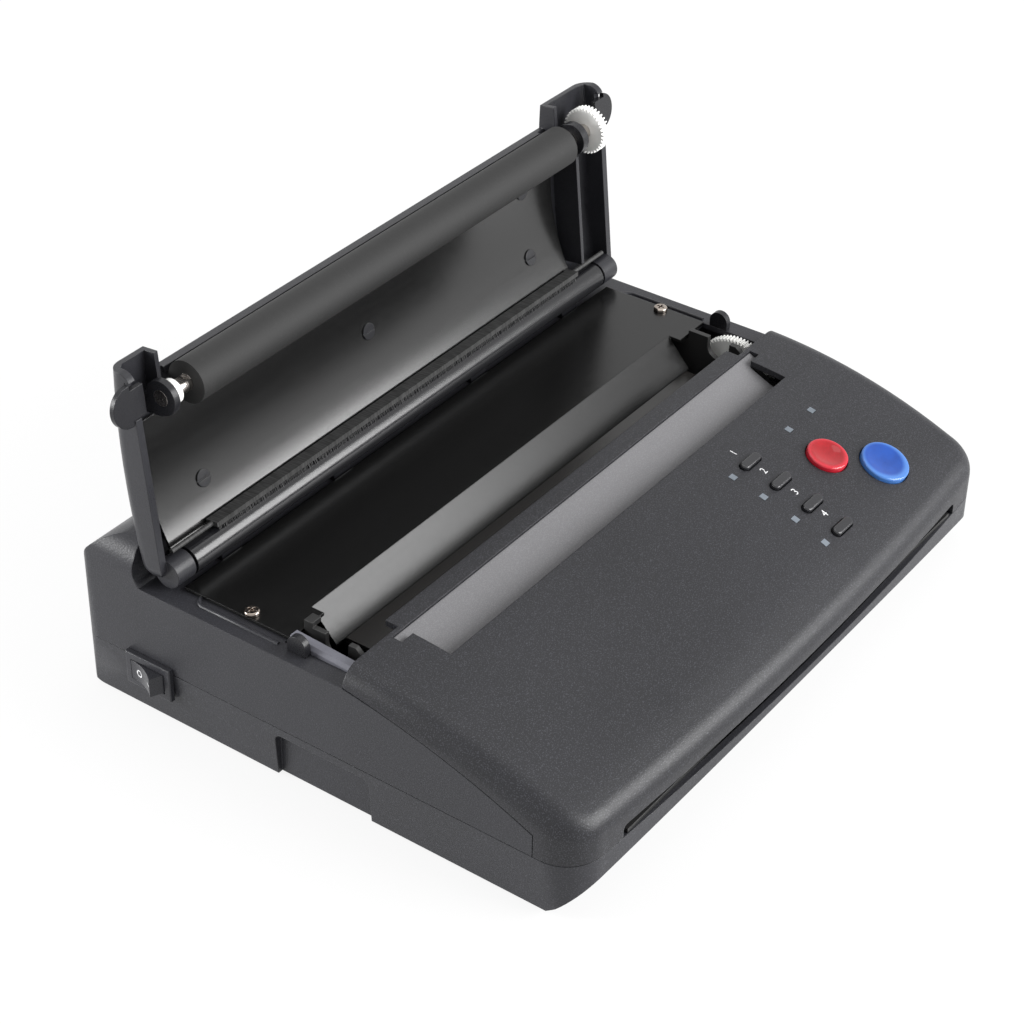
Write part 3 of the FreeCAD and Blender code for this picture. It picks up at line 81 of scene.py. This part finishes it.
# One material: nodes come from a type, its settings, then the values or links of its sockets
class Surface:
    def __init__(self, name):
        self.material = bpy.data.materials.new(name)
        self.material.use_nodes = True
        self.tree = self.material.node_tree
        self.shader = self.tree.nodes["Principled BSDF"]
        self.place = self.node("ShaderNodeTexCoord", {}, {}, "Object")

    def node(self, kind, settings, values, output=0):
        made = self.tree.nodes.new(kind)
        for key, value in settings.items():
            setattr(made, key, value)
        pairs = values.items() if isinstance(values, dict) else enumerate(values)
        for key, value in pairs:
            self.feed(made.inputs[key], value)
        return Link(self, made.outputs[output])

    def feed(self, socket, value):
        if isinstance(value, Link):
            self.tree.links.new(value.socket, socket)
        else:
            socket.default_value = value

    def set(self, **values):
        for key, value in values.items():
            self.feed(self.shader.inputs[key.replace("_", " ")], value)

    def noise(self, scale, detail, roughness, stretch=None):
        where = self.place
        if stretch:
            where = self.node("ShaderNodeMapping", {}, {"Vector": self.place, "Scale": stretch})
        return self.node("ShaderNodeTexNoise", {}, {
            "Vector": where, "Scale": scale, "Detail": detail, "Roughness": roughness})

    def cells(self, scale, feature="F1"):
        return self.node("ShaderNodeTexVoronoi", {"feature": feature}, {
            "Vector": self.place, "Scale": scale}, "Distance")

    def mix(self, share, a, b):
        return self.node("ShaderNodeMix", {"data_type": "RGBA"}, {0: share, 6: colour(a), 7: colour(b)}, 2)

    def bump(self, height, distance, strength=1.0, edge=None):  # edge rounds the outline by that radius
        values = {"Height": height, "Distance": distance, "Strength": strength}
        if edge:
            values["Normal"] = self.node("ShaderNodeBevel", {"samples": 6}, {"Radius": edge})
        return self.node("ShaderNodeBump", {}, values)


# Colour socket value from a grey number, a colour of three numbers or a link
def colour(value):
    if isinstance(value, Link):
        return value
    if isinstance(value, (int, float)):
        value = (value, value, value)
    return (*value, 1.0)


def finish(obj, surface):
    obj.data.materials.clear()
    obj.data.materials.append(surface.material)


print("materials")

# Moulded plastic with a spark-eroded grain, faint flow marks, a few polished rubs and pale specks
plasticPattern = {
    "finer": 2.2, "fine": (2.0, 0.6), "fineHeight": 0.6, "fineRough": 0.12,
    "flow": (9.0, 3.0, 0.55), "flowStretch": (1.0, 2.2, 1.0), "flowEdge": (0.5, 0.5), "flowRough": 0.10,
    "rub": (38.0, 4.0, 0.6), "rubEdge": (0.62, 0.12), "rubRough": 0.05,
    "speck": (1.0, 0.5), "speckWidth": 0.08, "speckRough": 0.08, "ior": 1.49}


def grainedPlastic(name, look):
    s = Surface(name)
    pattern = plasticPattern
    grain = s.cells(look["grainScale"], "SMOOTH_F1")
    fine = s.noise(look["grainScale"] * pattern["finer"], *pattern["fine"])
    flow = s.noise(*pattern["flow"], pattern["flowStretch"])
    rub = s.noise(*pattern["rub"]).above(*pattern["rubEdge"])
    speck = s.noise(look["sparkleScale"], *pattern["speck"]).above(look["sparkleEdge"], pattern["speckWidth"])
    tint = s.mix(flow.above(*pattern["flowEdge"]), look["dark"], look["pale"])
    tint = s.mix(speck * look["sparkle"], tint, look["sparkleColour"])
    cast = s.node("ShaderNodeVectorMath", {"operation": "MULTIPLY"}, [tint, look["cast"]])
    rough = look["roughness"] + flow.swing() * pattern["flowRough"] - rub * pattern["rubRough"]
    rough = rough + fine.swing() * pattern["fineRough"] - speck * pattern["speckRough"]
    height = grain + fine * pattern["fineHeight"]
    s.set(Base_Color=cast, Roughness=rough, IOR=pattern["ior"], Specular_IOR_Level=look["shine"],
          Normal=s.bump(height, look["grainDepth"], edge=look["edge"]))
    return s


caseLook = {"dark": 0.022, "pale": 0.027, "cast": (0.95, 0.96, 1.12), "roughness": 0.40, "shine": 0.32,
            "grainScale": 1500.0, "grainDepth": 0.00004, "edge": 0.0005,
            "sparkleScale": 2400.0, "sparkleEdge": 0.60, "sparkle": 0.28, "sparkleColour": 0.10}
coverLook = {**caseLook, "dark": 0.014, "pale": 0.018, "roughness": 0.42, "sparkle": 0.34}
trayLook = {**caseLook, "dark": 0.132, "pale": 0.152, "cast": (1.0, 0.99, 1.03), "roughness": 0.55,
            "grainScale": 2400.0, "edge": 0.0004,
            "sparkleScale": 2600.0, "sparkleEdge": 0.56, "sparkle": 0.30, "sparkleColour": 0.24}
lidLook = {**caseLook, "dark": 0.020, "pale": 0.025, "roughness": 0.36, "sparkle": 0.12}
partLook = {**caseLook, "dark": 0.012, "pale": 0.016, "roughness": 0.32, "sparkle": 0.08,
            "grainScale": 1900.0, "grainDepth": 0.00002, "edge": 0.0004}
keyLook = {**partLook, "roughness": 0.20, "shine": 0.6}
barrelLook = {**partLook, "dark": 0.008, "pale": 0.010, "roughness": 0.22, "shine": 0.6, "sparkle": 0.02,
              "grainDepth": 0.00001}
greyLook = {**partLook, "dark": 0.14, "pale": 0.165, "roughness": 0.38, "sparkleColour": 0.3}
switchLook = {**partLook, "dark": 0.030, "pale": 0.035, "roughness": 0.30, "grainDepth": 0.00001,
              "edge": 0.0003}

# Black painted sheet: even gloss, orange-peel waves, a little dust and fine wiping marks along the sheet
paintPattern = {
    "peel": (420.0, 2.0, 0.5), "peelRough": 0.06, "wipe": (26.0, 3.0, 0.6), "wipeStretch": (0.5, 14.0, 14.0),
    "dustScale": 520.0, "dustEdge": (0.12, 0.06), "clean": 0.92, "edge": 0.0004}


def paintedSheet(name, look):
    s = Surface(name)
    pattern = paintPattern
    peel = s.noise(*pattern["peel"])
    wipe = s.noise(*pattern["wipe"], pattern["wipeStretch"])
    free = s.cells(pattern["dustScale"]).above(*pattern["dustEdge"])
    tint = s.mix(1.0 - free, look["dark"], look["dust"])
    rough = look["roughness"] + wipe.swing() * look["wipe"] + peel.swing() * pattern["peelRough"]
    s.set(Base_Color=s.mix(pattern["clean"], tint, look["dark"]), Roughness=rough,
          Specular_IOR_Level=look["shine"], Normal=s.bump(peel, look["peel"], edge=pattern["edge"]))
    return s


deckLook = {"dark": 0.005, "dust": 0.03, "roughness": 0.24, "wipe": 0.06, "peel": 0.00001, "shine": 0.4}
lidPlateLook = {"dark": 0.007, "dust": 0.02, "roughness": 0.21, "wipe": 0.08, "peel": 0.000005,
                "shine": 0.65}
innerSheetLook = {"dark": 0.012, "dust": 0.04, "roughness": 0.5, "wipe": 0.1, "peel": 0.00001, "shine": 0.5}

# Turned or rolled steel with fine lines round the axis
steelPattern = {
    "lines": (60.0, 3.0, 0.6), "linesRough": 0.25, "linesDepth": 0.00002, "linesStrength": 0.6,
    "smudge": (45.0, 3.0, 0.6), "smudgeEdge": (0.55, 0.5), "smudgeRough": 0.12, "edge": 0.0002}


def turnedSteel(name, look):
    s = Surface(name)
    pattern = steelPattern
    lines = s.noise(*pattern["lines"], look["stretch"])
    smudge = s.noise(*pattern["smudge"])
    rough = look["roughness"] + lines.swing() * pattern["linesRough"]
    rough = rough + smudge.swing() * pattern["smudgeRough"]
    s.set(Base_Color=s.mix(smudge.above(*pattern["smudgeEdge"]), look["tint"], look["stain"]), Metallic=1.0,
          Roughness=rough,
          Normal=s.bump(lines, pattern["linesDepth"], pattern["linesStrength"], pattern["edge"]))
    return s


steelLook = {"tint": (0.66, 0.63, 0.60), "stain": (0.48, 0.44, 0.41), "roughness": 0.24,
             "stretch": (40.0, 1.0, 1.0)}
screwLook = {**steelLook, "tint": (0.42, 0.37, 0.33), "stain": (0.26, 0.22, 0.19), "roughness": 0.16}
motorLook = {**steelLook, "tint": (0.42, 0.42, 0.44), "stain": (0.34, 0.34, 0.36), "roughness": 0.4}

# Ground rubber: dull, with grinding rings and a little dust
rubberPattern = {
    "grind": (55.0, 3.0, 0.65), "grindStretch": (18.0, 2.0, 2.0), "grindEdge": (0.5, 0.4), "grindRough": 0.12,
    "speck": (1500.0, 2.0, 0.6), "grindHeight": 0.5, "depth": 0.00005,
    "dust": (700.0, 2.0, 0.6), "dustEdge": (0.66, 0.1), "dustShare": 0.2, "roughness": 0.72}


def groundRubber(name, look):
    s = Surface(name)
    pattern = rubberPattern
    grind = s.noise(*pattern["grind"], pattern["grindStretch"])
    speck = s.noise(*pattern["speck"])
    dust = s.noise(*pattern["dust"]).above(*pattern["dustEdge"])
    tint = s.mix(grind.above(*pattern["grindEdge"]), look["dark"], look["pale"])
    s.set(Base_Color=s.mix(dust * pattern["dustShare"], tint, look["dust"]),
          Roughness=pattern["roughness"] + grind.swing() * pattern["grindRough"],
          Normal=s.bump(speck + grind * pattern["grindHeight"], pattern["depth"]))
    return s


rollerLook = {"dark": 0.009, "pale": 0.013, "dust": 0.03}
footLook = {"dark": 0.02, "pale": 0.03, "dust": 0.08}

# Clear-coated coloured button: deep in the dish, with a paler ring at its rim painted as the highlight where
# light catches the dome's edge, with haze and hair scratches
glossPattern = {
    "rimEdge": (0.84, 0.22), "haze": (120.0, 3.0, 0.6), "hazeEdge": (0.5, 0.6), "hazeRough": 0.04,
    "scratch": (90.0, 3.0, 0.7), "scratchStretch": (30.0, 1.0, 1.0), "scratchEdge": (0.68, 0.06),
    "scratchRough": 0.1, "shine": 0.2, "coat": 0.6, "coatRough": 0.04}


def glossButton(name, look):
    s = Surface(name)
    pattern = glossPattern
    away = s.node("ShaderNodeVectorMath", {"operation": "DISTANCE"}, {0: s.place, 1: look["centre"]}, 1)
    # Painted highlight: the colour turns paler in a ring near the button's edge
    rim = (away / look["radius"]).above(*pattern["rimEdge"])
    haze = s.noise(*pattern["haze"])
    scratch = s.noise(*pattern["scratch"], pattern["scratchStretch"]).above(*pattern["scratchEdge"])
    dish = s.mix(haze.above(*pattern["hazeEdge"]), look["deep"], look["bright"])
    rough = look["roughness"] + scratch * pattern["scratchRough"] + haze.swing() * pattern["hazeRough"]
    s.set(Base_Color=s.mix(rim, dish, look["rim"]), Roughness=rough, Specular_IOR_Level=pattern["shine"],
          Coat_Weight=pattern["coat"], Coat_Roughness=pattern["coatRough"])
    return s


# The rim colours are the painted highlight round each dome's edge; the window's rim colour equals its plain
# colour
redLook = {"deep": (0.26, 0.001, 0.005), "bright": (0.36, 0.003, 0.009), "rim": (0.50, 0.015, 0.03),
           "roughness": 0.10, "centre": (0.0794, -0.068, 0.054), "radius": 0.00815}
blueLook = {"deep": (0.003, 0.045, 0.26), "bright": (0.005, 0.065, 0.36), "rim": (0.06, 0.18, 0.50),
            "roughness": 0.10, "centre": (0.0956, -0.0842, 0.050), "radius": 0.00975}
windowLook = {"deep": (0.12, 0.14, 0.165), "bright": (0.17, 0.195, 0.225), "rim": (0.17, 0.195, 0.225),
              "roughness": 0.3, "centre": (0.0, 0.0, 0.0), "radius": 1.0}


# Moulded nylon: milky and slightly warm, with a soft gloss
def whiteNylon(name, look):
    s = Surface(name)
    fine = s.noise(*look["fine"])
    s.set(Base_Color=s.mix(s.noise(*look["cloud"]).above(*look["cloudEdge"]), look["tint"], look["shade"]),
          Roughness=look["roughness"] + fine.swing() * look["swing"],
          Normal=s.bump(fine, look["depth"], edge=look["edge"]))
    return s


nylonLook = {"tint": (0.88, 0.88, 0.86), "shade": (0.83, 0.83, 0.81), "cloud": (60.0, 3.0, 0.6),
             "cloudEdge": (0.5, 0.5), "fine": (900.0, 2.0, 0.5), "roughness": 0.42, "swing": 0.1,
             "depth": 0.00001, "edge": 0.0001}


# Plain material: one noise mixes two colours and moves the roughness, and the surface where it has a depth
def cloudy(name, look):
    s = Surface(name)
    cloud = s.noise(*look["noise"], look["stretch"])
    s.set(Base_Color=s.mix(cloud.above(*look["edge"]), *look["colours"]), Metallic=look["metal"],
          Roughness=look["roughness"] + cloud.swing() * look["swing"])
    if look["depth"]:
        s.set(Normal=s.bump(cloud, look["depth"]))
    return s


ceramicLook = {"noise": (80.0, 3.0, 0.6), "stretch": None, "edge": (0.5, 0.5), "metal": 0.0,
               "roughness": 0.25, "swing": 0.1, "depth": 0.0,
               "colours": ((0.020, 0.018, 0.017), (0.012, 0.011, 0.010))}
extrudedLook = {"noise": (50.0, 3.0, 0.6), "stretch": (1.0, 30.0, 30.0), "edge": (0.5, 0.5), "metal": 1.0,
                "roughness": 0.35, "swing": 0.2, "colours": ((0.10, 0.10, 0.11), (0.14, 0.14, 0.15)),
                "depth": 0.00002}
fibreLook = {"noise": (500.0, 2.0, 0.6), "stretch": (3.0, 0.2, 0.2), "edge": (0.5, 0.4), "metal": 0.0,
             "roughness": 0.6, "swing": 0.2, "colours": (0.012, 0.05), "depth": 0.0002}


# Circuit board: green mask that lies a hair higher between its tracks
def solderMask(name, look):
    s = Surface(name)
    tracks = s.cells(look["cells"], "DISTANCE_TO_EDGE").above(*look["edge"])
    s.set(Base_Color=s.mix(tracks, *look["colours"]), Roughness=look["roughness"],
          Normal=s.bump(tracks, look["depth"]))
    return s


maskLook = {"cells": 160.0, "edge": (0.05, 0.03), "colours": ((0.02, 0.11, 0.05), (0.03, 0.17, 0.075)),
            "roughness": 0.35, "depth": 0.00002}


# Printed white with small worn spots
def whitePaint(name, look):
    s = Surface(name)
    whole = s.noise(*look["noise"]).above(*look["edge"])
    s.set(Base_Color=s.mix(whole, *look["colours"]), Roughness=look["roughness"] + whole * look["rougher"])
    return s


paintLook = {"noise": (1800.0, 2.0, 0.6), "edge": (0.42, 0.1), "roughness": 0.5, "rougher": 0.08,
             "colours": ((0.45, 0.45, 0.46), (0.72, 0.72, 0.73))}

casePlastic = grainedPlastic("casePlastic", caseLook)
fibre = cloudy("fibre", fibreLook)
printedWhite = whitePaint("printedWhite", paintLook)
nodeFinish = {
    casePlastic: ["base_shell", "upper_shell"],
    grainedPlastic("coverPlastic", coverLook): ["front_cover"],
    grainedPlastic("trayPlastic", trayLook): ["document_tray"],
    grainedPlastic("lidPlastic", lidLook): ["lid_shell"],
    grainedPlastic("barrelPlastic", barrelLook): ["hinge_barrel"],
    grainedPlastic("partPlastic", partLook): [
        "lid_plugs", "platen_bearing_left", "platen_bearing_right", "release_tab_left", "release_tab_right",
        "latch_posts", "image_sensor"],
    grainedPlastic("keyPlastic", keyLook): ["key_1", "key_2", "key_3", "key_4"],
    grainedPlastic("greyPlastic", greyLook): ["trim_bar"],
    grainedPlastic("switchPlastic", switchLook): ["switch_housing", "power_rocker", "power_inlet"],
    paintedSheet("deckPaint", deckLook): ["deck_plate"],
    paintedSheet("lidPlatePaint", lidPlateLook): ["lid_inner_plate"],
    paintedSheet("innerPaint", innerSheetLook): [
        "document_guide", "side_frame_left", "side_frame_right", "head_beam"],
    turnedSteel("screwSteel", screwLook): ["deck_screws"],
    turnedSteel("brightSteel", steelLook): [
        "hinge_rod", "platen_shaft", "platen_clip", "drive_axles", "feed_axle", "feed_shaft"],
    turnedSteel("motorSteel", motorLook): ["drive_motor", "feed_motor"],
    groundRubber("rollerRubber", rollerLook): ["platen_roller", "feed_roller"],
    groundRubber("footRubber", footLook): ["rubber_feet"],
    whiteNylon("nylon", nylonLook): [
        "platen_gear", "platen_bush", "drive_gear", "drive_idler", "drive_pinion", "feed_gear", "feed_idler",
        "feed_pinion"],
    glossButton("redGloss", redLook): ["stop_button"],
    glossButton("blueGloss", blueLook): ["copy_button"],
    glossButton("lightWindow", windowLook): ["led_windows"],
    cloudy("ceramicGlaze", ceramicLook): ["thermal_head"],
    cloudy("extrudedMetal", extrudedLook): ["heat_sink"],
    solderMask("solderMask", maskLook): ["key_board", "main_board", "power_board"],
    fibre: ["brush_strip"],
}
for surface, names in nodeFinish.items():
    for name in names:
        finish(nodes[name], surface)

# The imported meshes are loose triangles: joined and split again by angle, curved walls shade smoothly
jointLook = {"merge": 0.00001, "splitAngle": math.radians(28)}
for node in nodes.values():
    for polygon in node.data.polygons:
        polygon.use_smooth = True
    weld = node.modifiers.new("weld", "WELD")
    weld.merge_threshold = jointLook["merge"]
    split = node.modifiers.new("split", "EDGE_SPLIT")
    split.split_angle = jointLook["splitAngle"]
    split.use_edge_sharp = False


# Point and outward normal where a straight line first meets a node
def touch(node, start, direction):
    found, point, normal, _ = nodes[node].ray_cast(Vector(start), Vector(direction))
    return (point, normal) if found else (Vector(start), -Vector(direction))


# Low corner, high corner and middle of a node's box
def extent(low, high):
    low, high = Vector(low), Vector(high)
    return low, high, (low + high) / 2


# Finished piece from points and faces in the object's own frame
def piece(name, points, faces, surface, body="body", smooth=False):
    mesh = bpy.data.meshes.new(name)
    mesh.from_pydata([tuple(v) for v in points], [], faces)
    mesh.polygons.foreach_set("use_smooth", [smooth] * len(mesh.polygons))
    obj = bpy.data.objects.new(name, mesh)
    scene.collection.objects.link(obj)
    finish(obj, surface)
    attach(obj, body)


# Flat outline laid on a surface: across and up span the surface, the sheet stands a hair above it
def laid(outline, point, normal, up, lift):
    across = up.cross(normal).normalized()
    upward = normal.cross(across).normalized()
    return [point + across * a + upward * b + normal * lift for a, b in outline]


print("printed marks")

# Plain numbers beside the four keys, each centred behind its key on the cover
numberLook = {"size": 0.0044, "behind": 0.0066, "lift": 0.00004, "above": 0.1}
for number in ("1", "2", "3", "4"):
    middle = extent(*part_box(f"key_{number}"))[2]
    start = (middle.x, middle.y + numberLook["behind"], numberLook["above"])
    point, normal = touch("front_cover", start, (0, 0, -1))
    text = bpy.data.curves.new(f"number{number}", "FONT")
    text.body = number
    text.size = numberLook["size"]
    text.align_x = "CENTER"
    text.align_y = "CENTER"
    holder = bpy.data.objects.new("holder", text)
    scene.collection.objects.link(holder)
    bpy.context.view_layer.update()
    flat = bpy.data.meshes.new_from_object(holder)
    bpy.data.objects.remove(holder)
    outline = [(v.co.x, v.co.y) for v in flat.vertices]
    points = laid(outline, point, normal, Vector((0, 1, 0)), numberLook["lift"])
    piece(f"printedNumber{number}", points, [tuple(f.vertices) for f in flat.polygons], printedWhite)

# Ring and bar on the two halves of the rocker, each point dropped onto its dished face
markLook = {"outer": 0.0015, "inner": 0.0010, "bar": (0.0022, 0.0005), "off": 0.0033, "steps": 40,
            "lift": 0.00004}
low, high, middle = extent(*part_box("power_rocker"))
outside = low.x - markLook["outer"]
steps = markLook["steps"]
turns = np.linspace(0, 2 * math.pi, steps, endpoint=False)
radii = (markLook["outer"], markLook["inner"])
ringOutline = [(r * math.cos(t), r * math.sin(t)) for r in radii for t in turns]
ringFaces = [(i, (i + 1) % steps, steps + (i + 1) % steps, steps + i) for i in range(steps)]
wide, tall = (v / 2 for v in markLook["bar"])
barOutline = [(-wide, -tall), (wide, -tall), (wide, tall), (-wide, tall)]
marks = (("offMark", 1, ringOutline, ringFaces), ("onMark", -1, barOutline, [(0, 1, 2, 3)]))
for name, side, outline, faces in marks:
    point, normal = touch("power_rocker", (outside, middle.y + side * markLook["off"], middle.z), (1, 0, 0))
    above = laid(outline, point, normal, Vector((0, 0, 1)), markLook["outer"])
    points = [touch("power_rocker", v, -normal)[0] + normal * markLook["lift"] for v in above]
    piece(name, points, faces, printedWhite, "rocker")


print("beads")

# Rounded bead along the outer edge of each ledge beside the deck, its rear end turned inward:
# circles stand on a path that runs straight back and ends in a quarter turn
beadLook = {"radius": 0.0008, "sunk": 0.0001, "out": 0.0036, "front": 0.021, "rear": 0.0545, "turn": 0.004,
            "sides": 12, "arc": 8}
low, high, middle = extent(*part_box("deck_plate"))
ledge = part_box("latch_posts")[0][2] - beadLook["sunk"]
outer = high.x + beadLook["out"]
path = [(outer, beadLook["front"])]
for turn in np.linspace(0, math.pi / 2, beadLook["arc"] + 1):
    path.append((outer - beadLook["turn"] * (1 - math.cos(turn)),
                 beadLook["rear"] + beadLook["turn"] * math.sin(turn)))
sides = beadLook["sides"]
last = len(path) - 1
beadFaces = [(row * sides + i, row * sides + (i + 1) % sides,
              (row + 1) * sides + (i + 1) % sides, (row + 1) * sides + i)
             for row in range(last) for i in range(sides)]
beadFaces += [tuple(range(sides)), tuple(range(last * sides, len(path) * sides))]
for name, side in (("beadRight", 1), ("beadLeft", -1)):
    points = []
    for at, (x, y) in enumerate(path):
        before, after = path[max(at - 1, 0)], path[min(at + 1, last)]
        run = Vector((side * (after[0] - before[0]), after[1] - before[1], 0)).normalized()
        across = Vector((run.y, -run.x, 0))
        for around in range(sides):
            angle = 2 * math.pi * around / sides
            spoke = across * math.cos(angle) + Vector((0, 0, math.sin(angle)))
            points.append(Vector((side * x, y, ledge)) + beadLook["radius"] * spoke)
    piece(name, points, beadFaces, casePlastic, "body", True)


print("bristles")

# Bristles of the strip: rows of thin tapered blades, each leaning a little its own way
bristleLook = {"count": 900, "rows": 3, "rowSpan": (0.2, 0.8), "inset": 0.022, "length": 0.0042,
               "shortest": 0.8, "forward": 0.35, "width": 0.00022, "spread": 0.0007, "seed": 5}
low, high, middle = extent(*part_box("brush_strip"))
chance = np.random.default_rng(bristleLook["seed"])
count = bristleLook["count"]
places = np.linspace(low.x + bristleLook["inset"], high.x - bristleLook["inset"], count)
x = np.tile(places, bristleLook["rows"])
x = x + chance.uniform(-1, 1, x.size) * bristleLook["width"]
row = np.repeat(np.linspace(*bristleLook["rowSpan"], bristleLook["rows"]), count)
rootY = low.y + row * (high.y - low.y)
rootZ = np.full(x.size, middle.z)
length = bristleLook["length"] * chance.uniform(bristleLook["shortest"], 1.0, x.size)
leanX, leanY = chance.uniform(-1, 1, (2, x.size)) * bristleLook["spread"]
half = bristleLook["width"] / 2
corners = np.empty((x.size, 3, 3))
corners[:, 0] = np.stack([x - half, rootY, rootZ], 1)
corners[:, 1] = np.stack([x + half, rootY, rootZ], 1)
corners[:, 2] = np.stack([x + leanX, rootY - length * bristleLook["forward"] + leanY, rootZ - length], 1)
faces = np.arange(x.size * 3).reshape(-1, 3).tolist()
piece("bristles", corners.reshape(-1, 3), faces, fibre, "lid")


print("light and camera")

cameraLook = {"place": (-0.6199, -0.4185, 0.5698), "right": (0.5857, -0.8104, 0.01404),
              "down": (-0.46023, -0.34678, -0.81727), "ahead": (0.66719, 0.47222, -0.57608),
              "lens": 86.97, "sensor": 36.0, "near": 0.01}
right, down, ahead = (Vector(cameraLook[key]).normalized() for key in ("right", "down", "ahead"))
camera = bpy.data.objects.new("camera", bpy.data.cameras.new("camera"))
camera.data.lens = cameraLook["lens"]
camera.data.sensor_width = cameraLook["sensor"]
camera.data.clip_start = cameraLook["near"]
camera.matrix_world = Matrix((
    (right.x, -down.x, -ahead.x, cameraLook["place"][0]),
    (right.y, -down.y, -ahead.y, cameraLook["place"][1]),
    (right.z, -down.z, -ahead.z, cameraLook["place"][2]),
    (0, 0, 0, 1)))
scene.collection.objects.link(camera)
scene.camera = camera

lamps = {
    "top": {"place": (0.1, 0.1, 1.25), "aim": (0.0, 0.0, 0.05), "size": (1.3, 0.9), "power": 3.5},
    "front": {"place": (0.50, -1.15, 0.62), "aim": (0.0, -0.05, 0.05), "size": (1.1, 0.95), "power": 30.0},
    "left": {"place": (-0.85, 1.10, 0.45), "aim": (0.0, 0.05, 0.06), "size": (0.6, 0.6), "power": 20.0},
}
for name, lamp in lamps.items():
    data = bpy.data.lights.new(name, "AREA")
    data.shape = "RECTANGLE"
    data.size, data.size_y = lamp["size"]
    data.energy = lamp["power"]
    light = bpy.data.objects.new(name, data)
    place = Vector(lamp["place"])
    turned = (Vector(lamp["aim"]) - place).to_track_quat("-Z", "Y").to_matrix().to_4x4()
    light.matrix_world = Matrix.Translation(place) @ turned
    scene.collection.objects.link(light)


# White for the camera and for reflections, and a plain pale grey light for the rest
worldLook = {"grey": 0.55, "white": 1.0}
world = bpy.data.worlds.new("studio")
scene.world = world
world.use_nodes = True
tree = world.node_tree
paths = tree.nodes.new("ShaderNodeLightPath")
seen = paths.outputs["Is Camera Ray"]
for ray in ("Is Glossy Ray", "Is Transmission Ray"):
    either = tree.nodes.new("ShaderNodeMath")
    either.operation = "MAXIMUM"
    tree.links.new(seen, either.inputs[0])
    tree.links.new(paths.outputs[ray], either.inputs[1])
    seen = either.outputs[0]
strength = tree.nodes.new("ShaderNodeMapRange")
strength.inputs["To Min"].default_value = worldLook["grey"]
strength.inputs["To Max"].default_value = worldLook["white"]
tree.links.new(seen, strength.inputs["Value"])
tree.nodes["Background"].inputs["Color"].default_value = (1, 1, 1, 1)
tree.links.new(strength.outputs[0], tree.nodes["Background"].inputs["Strength"])

# Floor: dull white that catches the soft shadow, mostly plain white for the camera and for reflections
floorLook = {"reach": 30.0, "grey": 0.85, "roughness": 0.9, "glow": 1.0, "glowShare": 0.86}
reach = floorLook["reach"]
floorMesh = bpy.data.meshes.new("floor")
floorCorners = [(-reach, -reach, 0), (reach, -reach, 0), (reach, reach, 0), (-reach, reach, 0)]
floorMesh.from_pydata(floorCorners, [], [(0, 1, 2, 3)])
floor = bpy.data.objects.new("floor", floorMesh)
scene.collection.objects.link(floor)
floorPaint = Surface("floorPaint")
floorPaint.set(Base_Color=colour(floorLook["grey"]), Roughness=floorLook["roughness"])
glow = floorPaint.node("ShaderNodeEmission", {}, {"Color": colour(floorLook["glow"])})
rays = floorPaint.node("ShaderNodeLightPath", {}, {}, "Is Camera Ray")
glossy = Link(floorPaint, rays.socket.node.outputs["Is Glossy Ray"])
paint = Link(floorPaint, floorPaint.shader.outputs[0])
share = rays.maths("MAXIMUM", rays, glossy) * floorLook["glowShare"]
whole = floorPaint.node("ShaderNodeMixShader", {}, [share, paint, glow])
floorPaint.tree.links.new(whole.socket, floorPaint.tree.nodes["Material Output"].inputs["Surface"])
finish(floor, floorPaint)
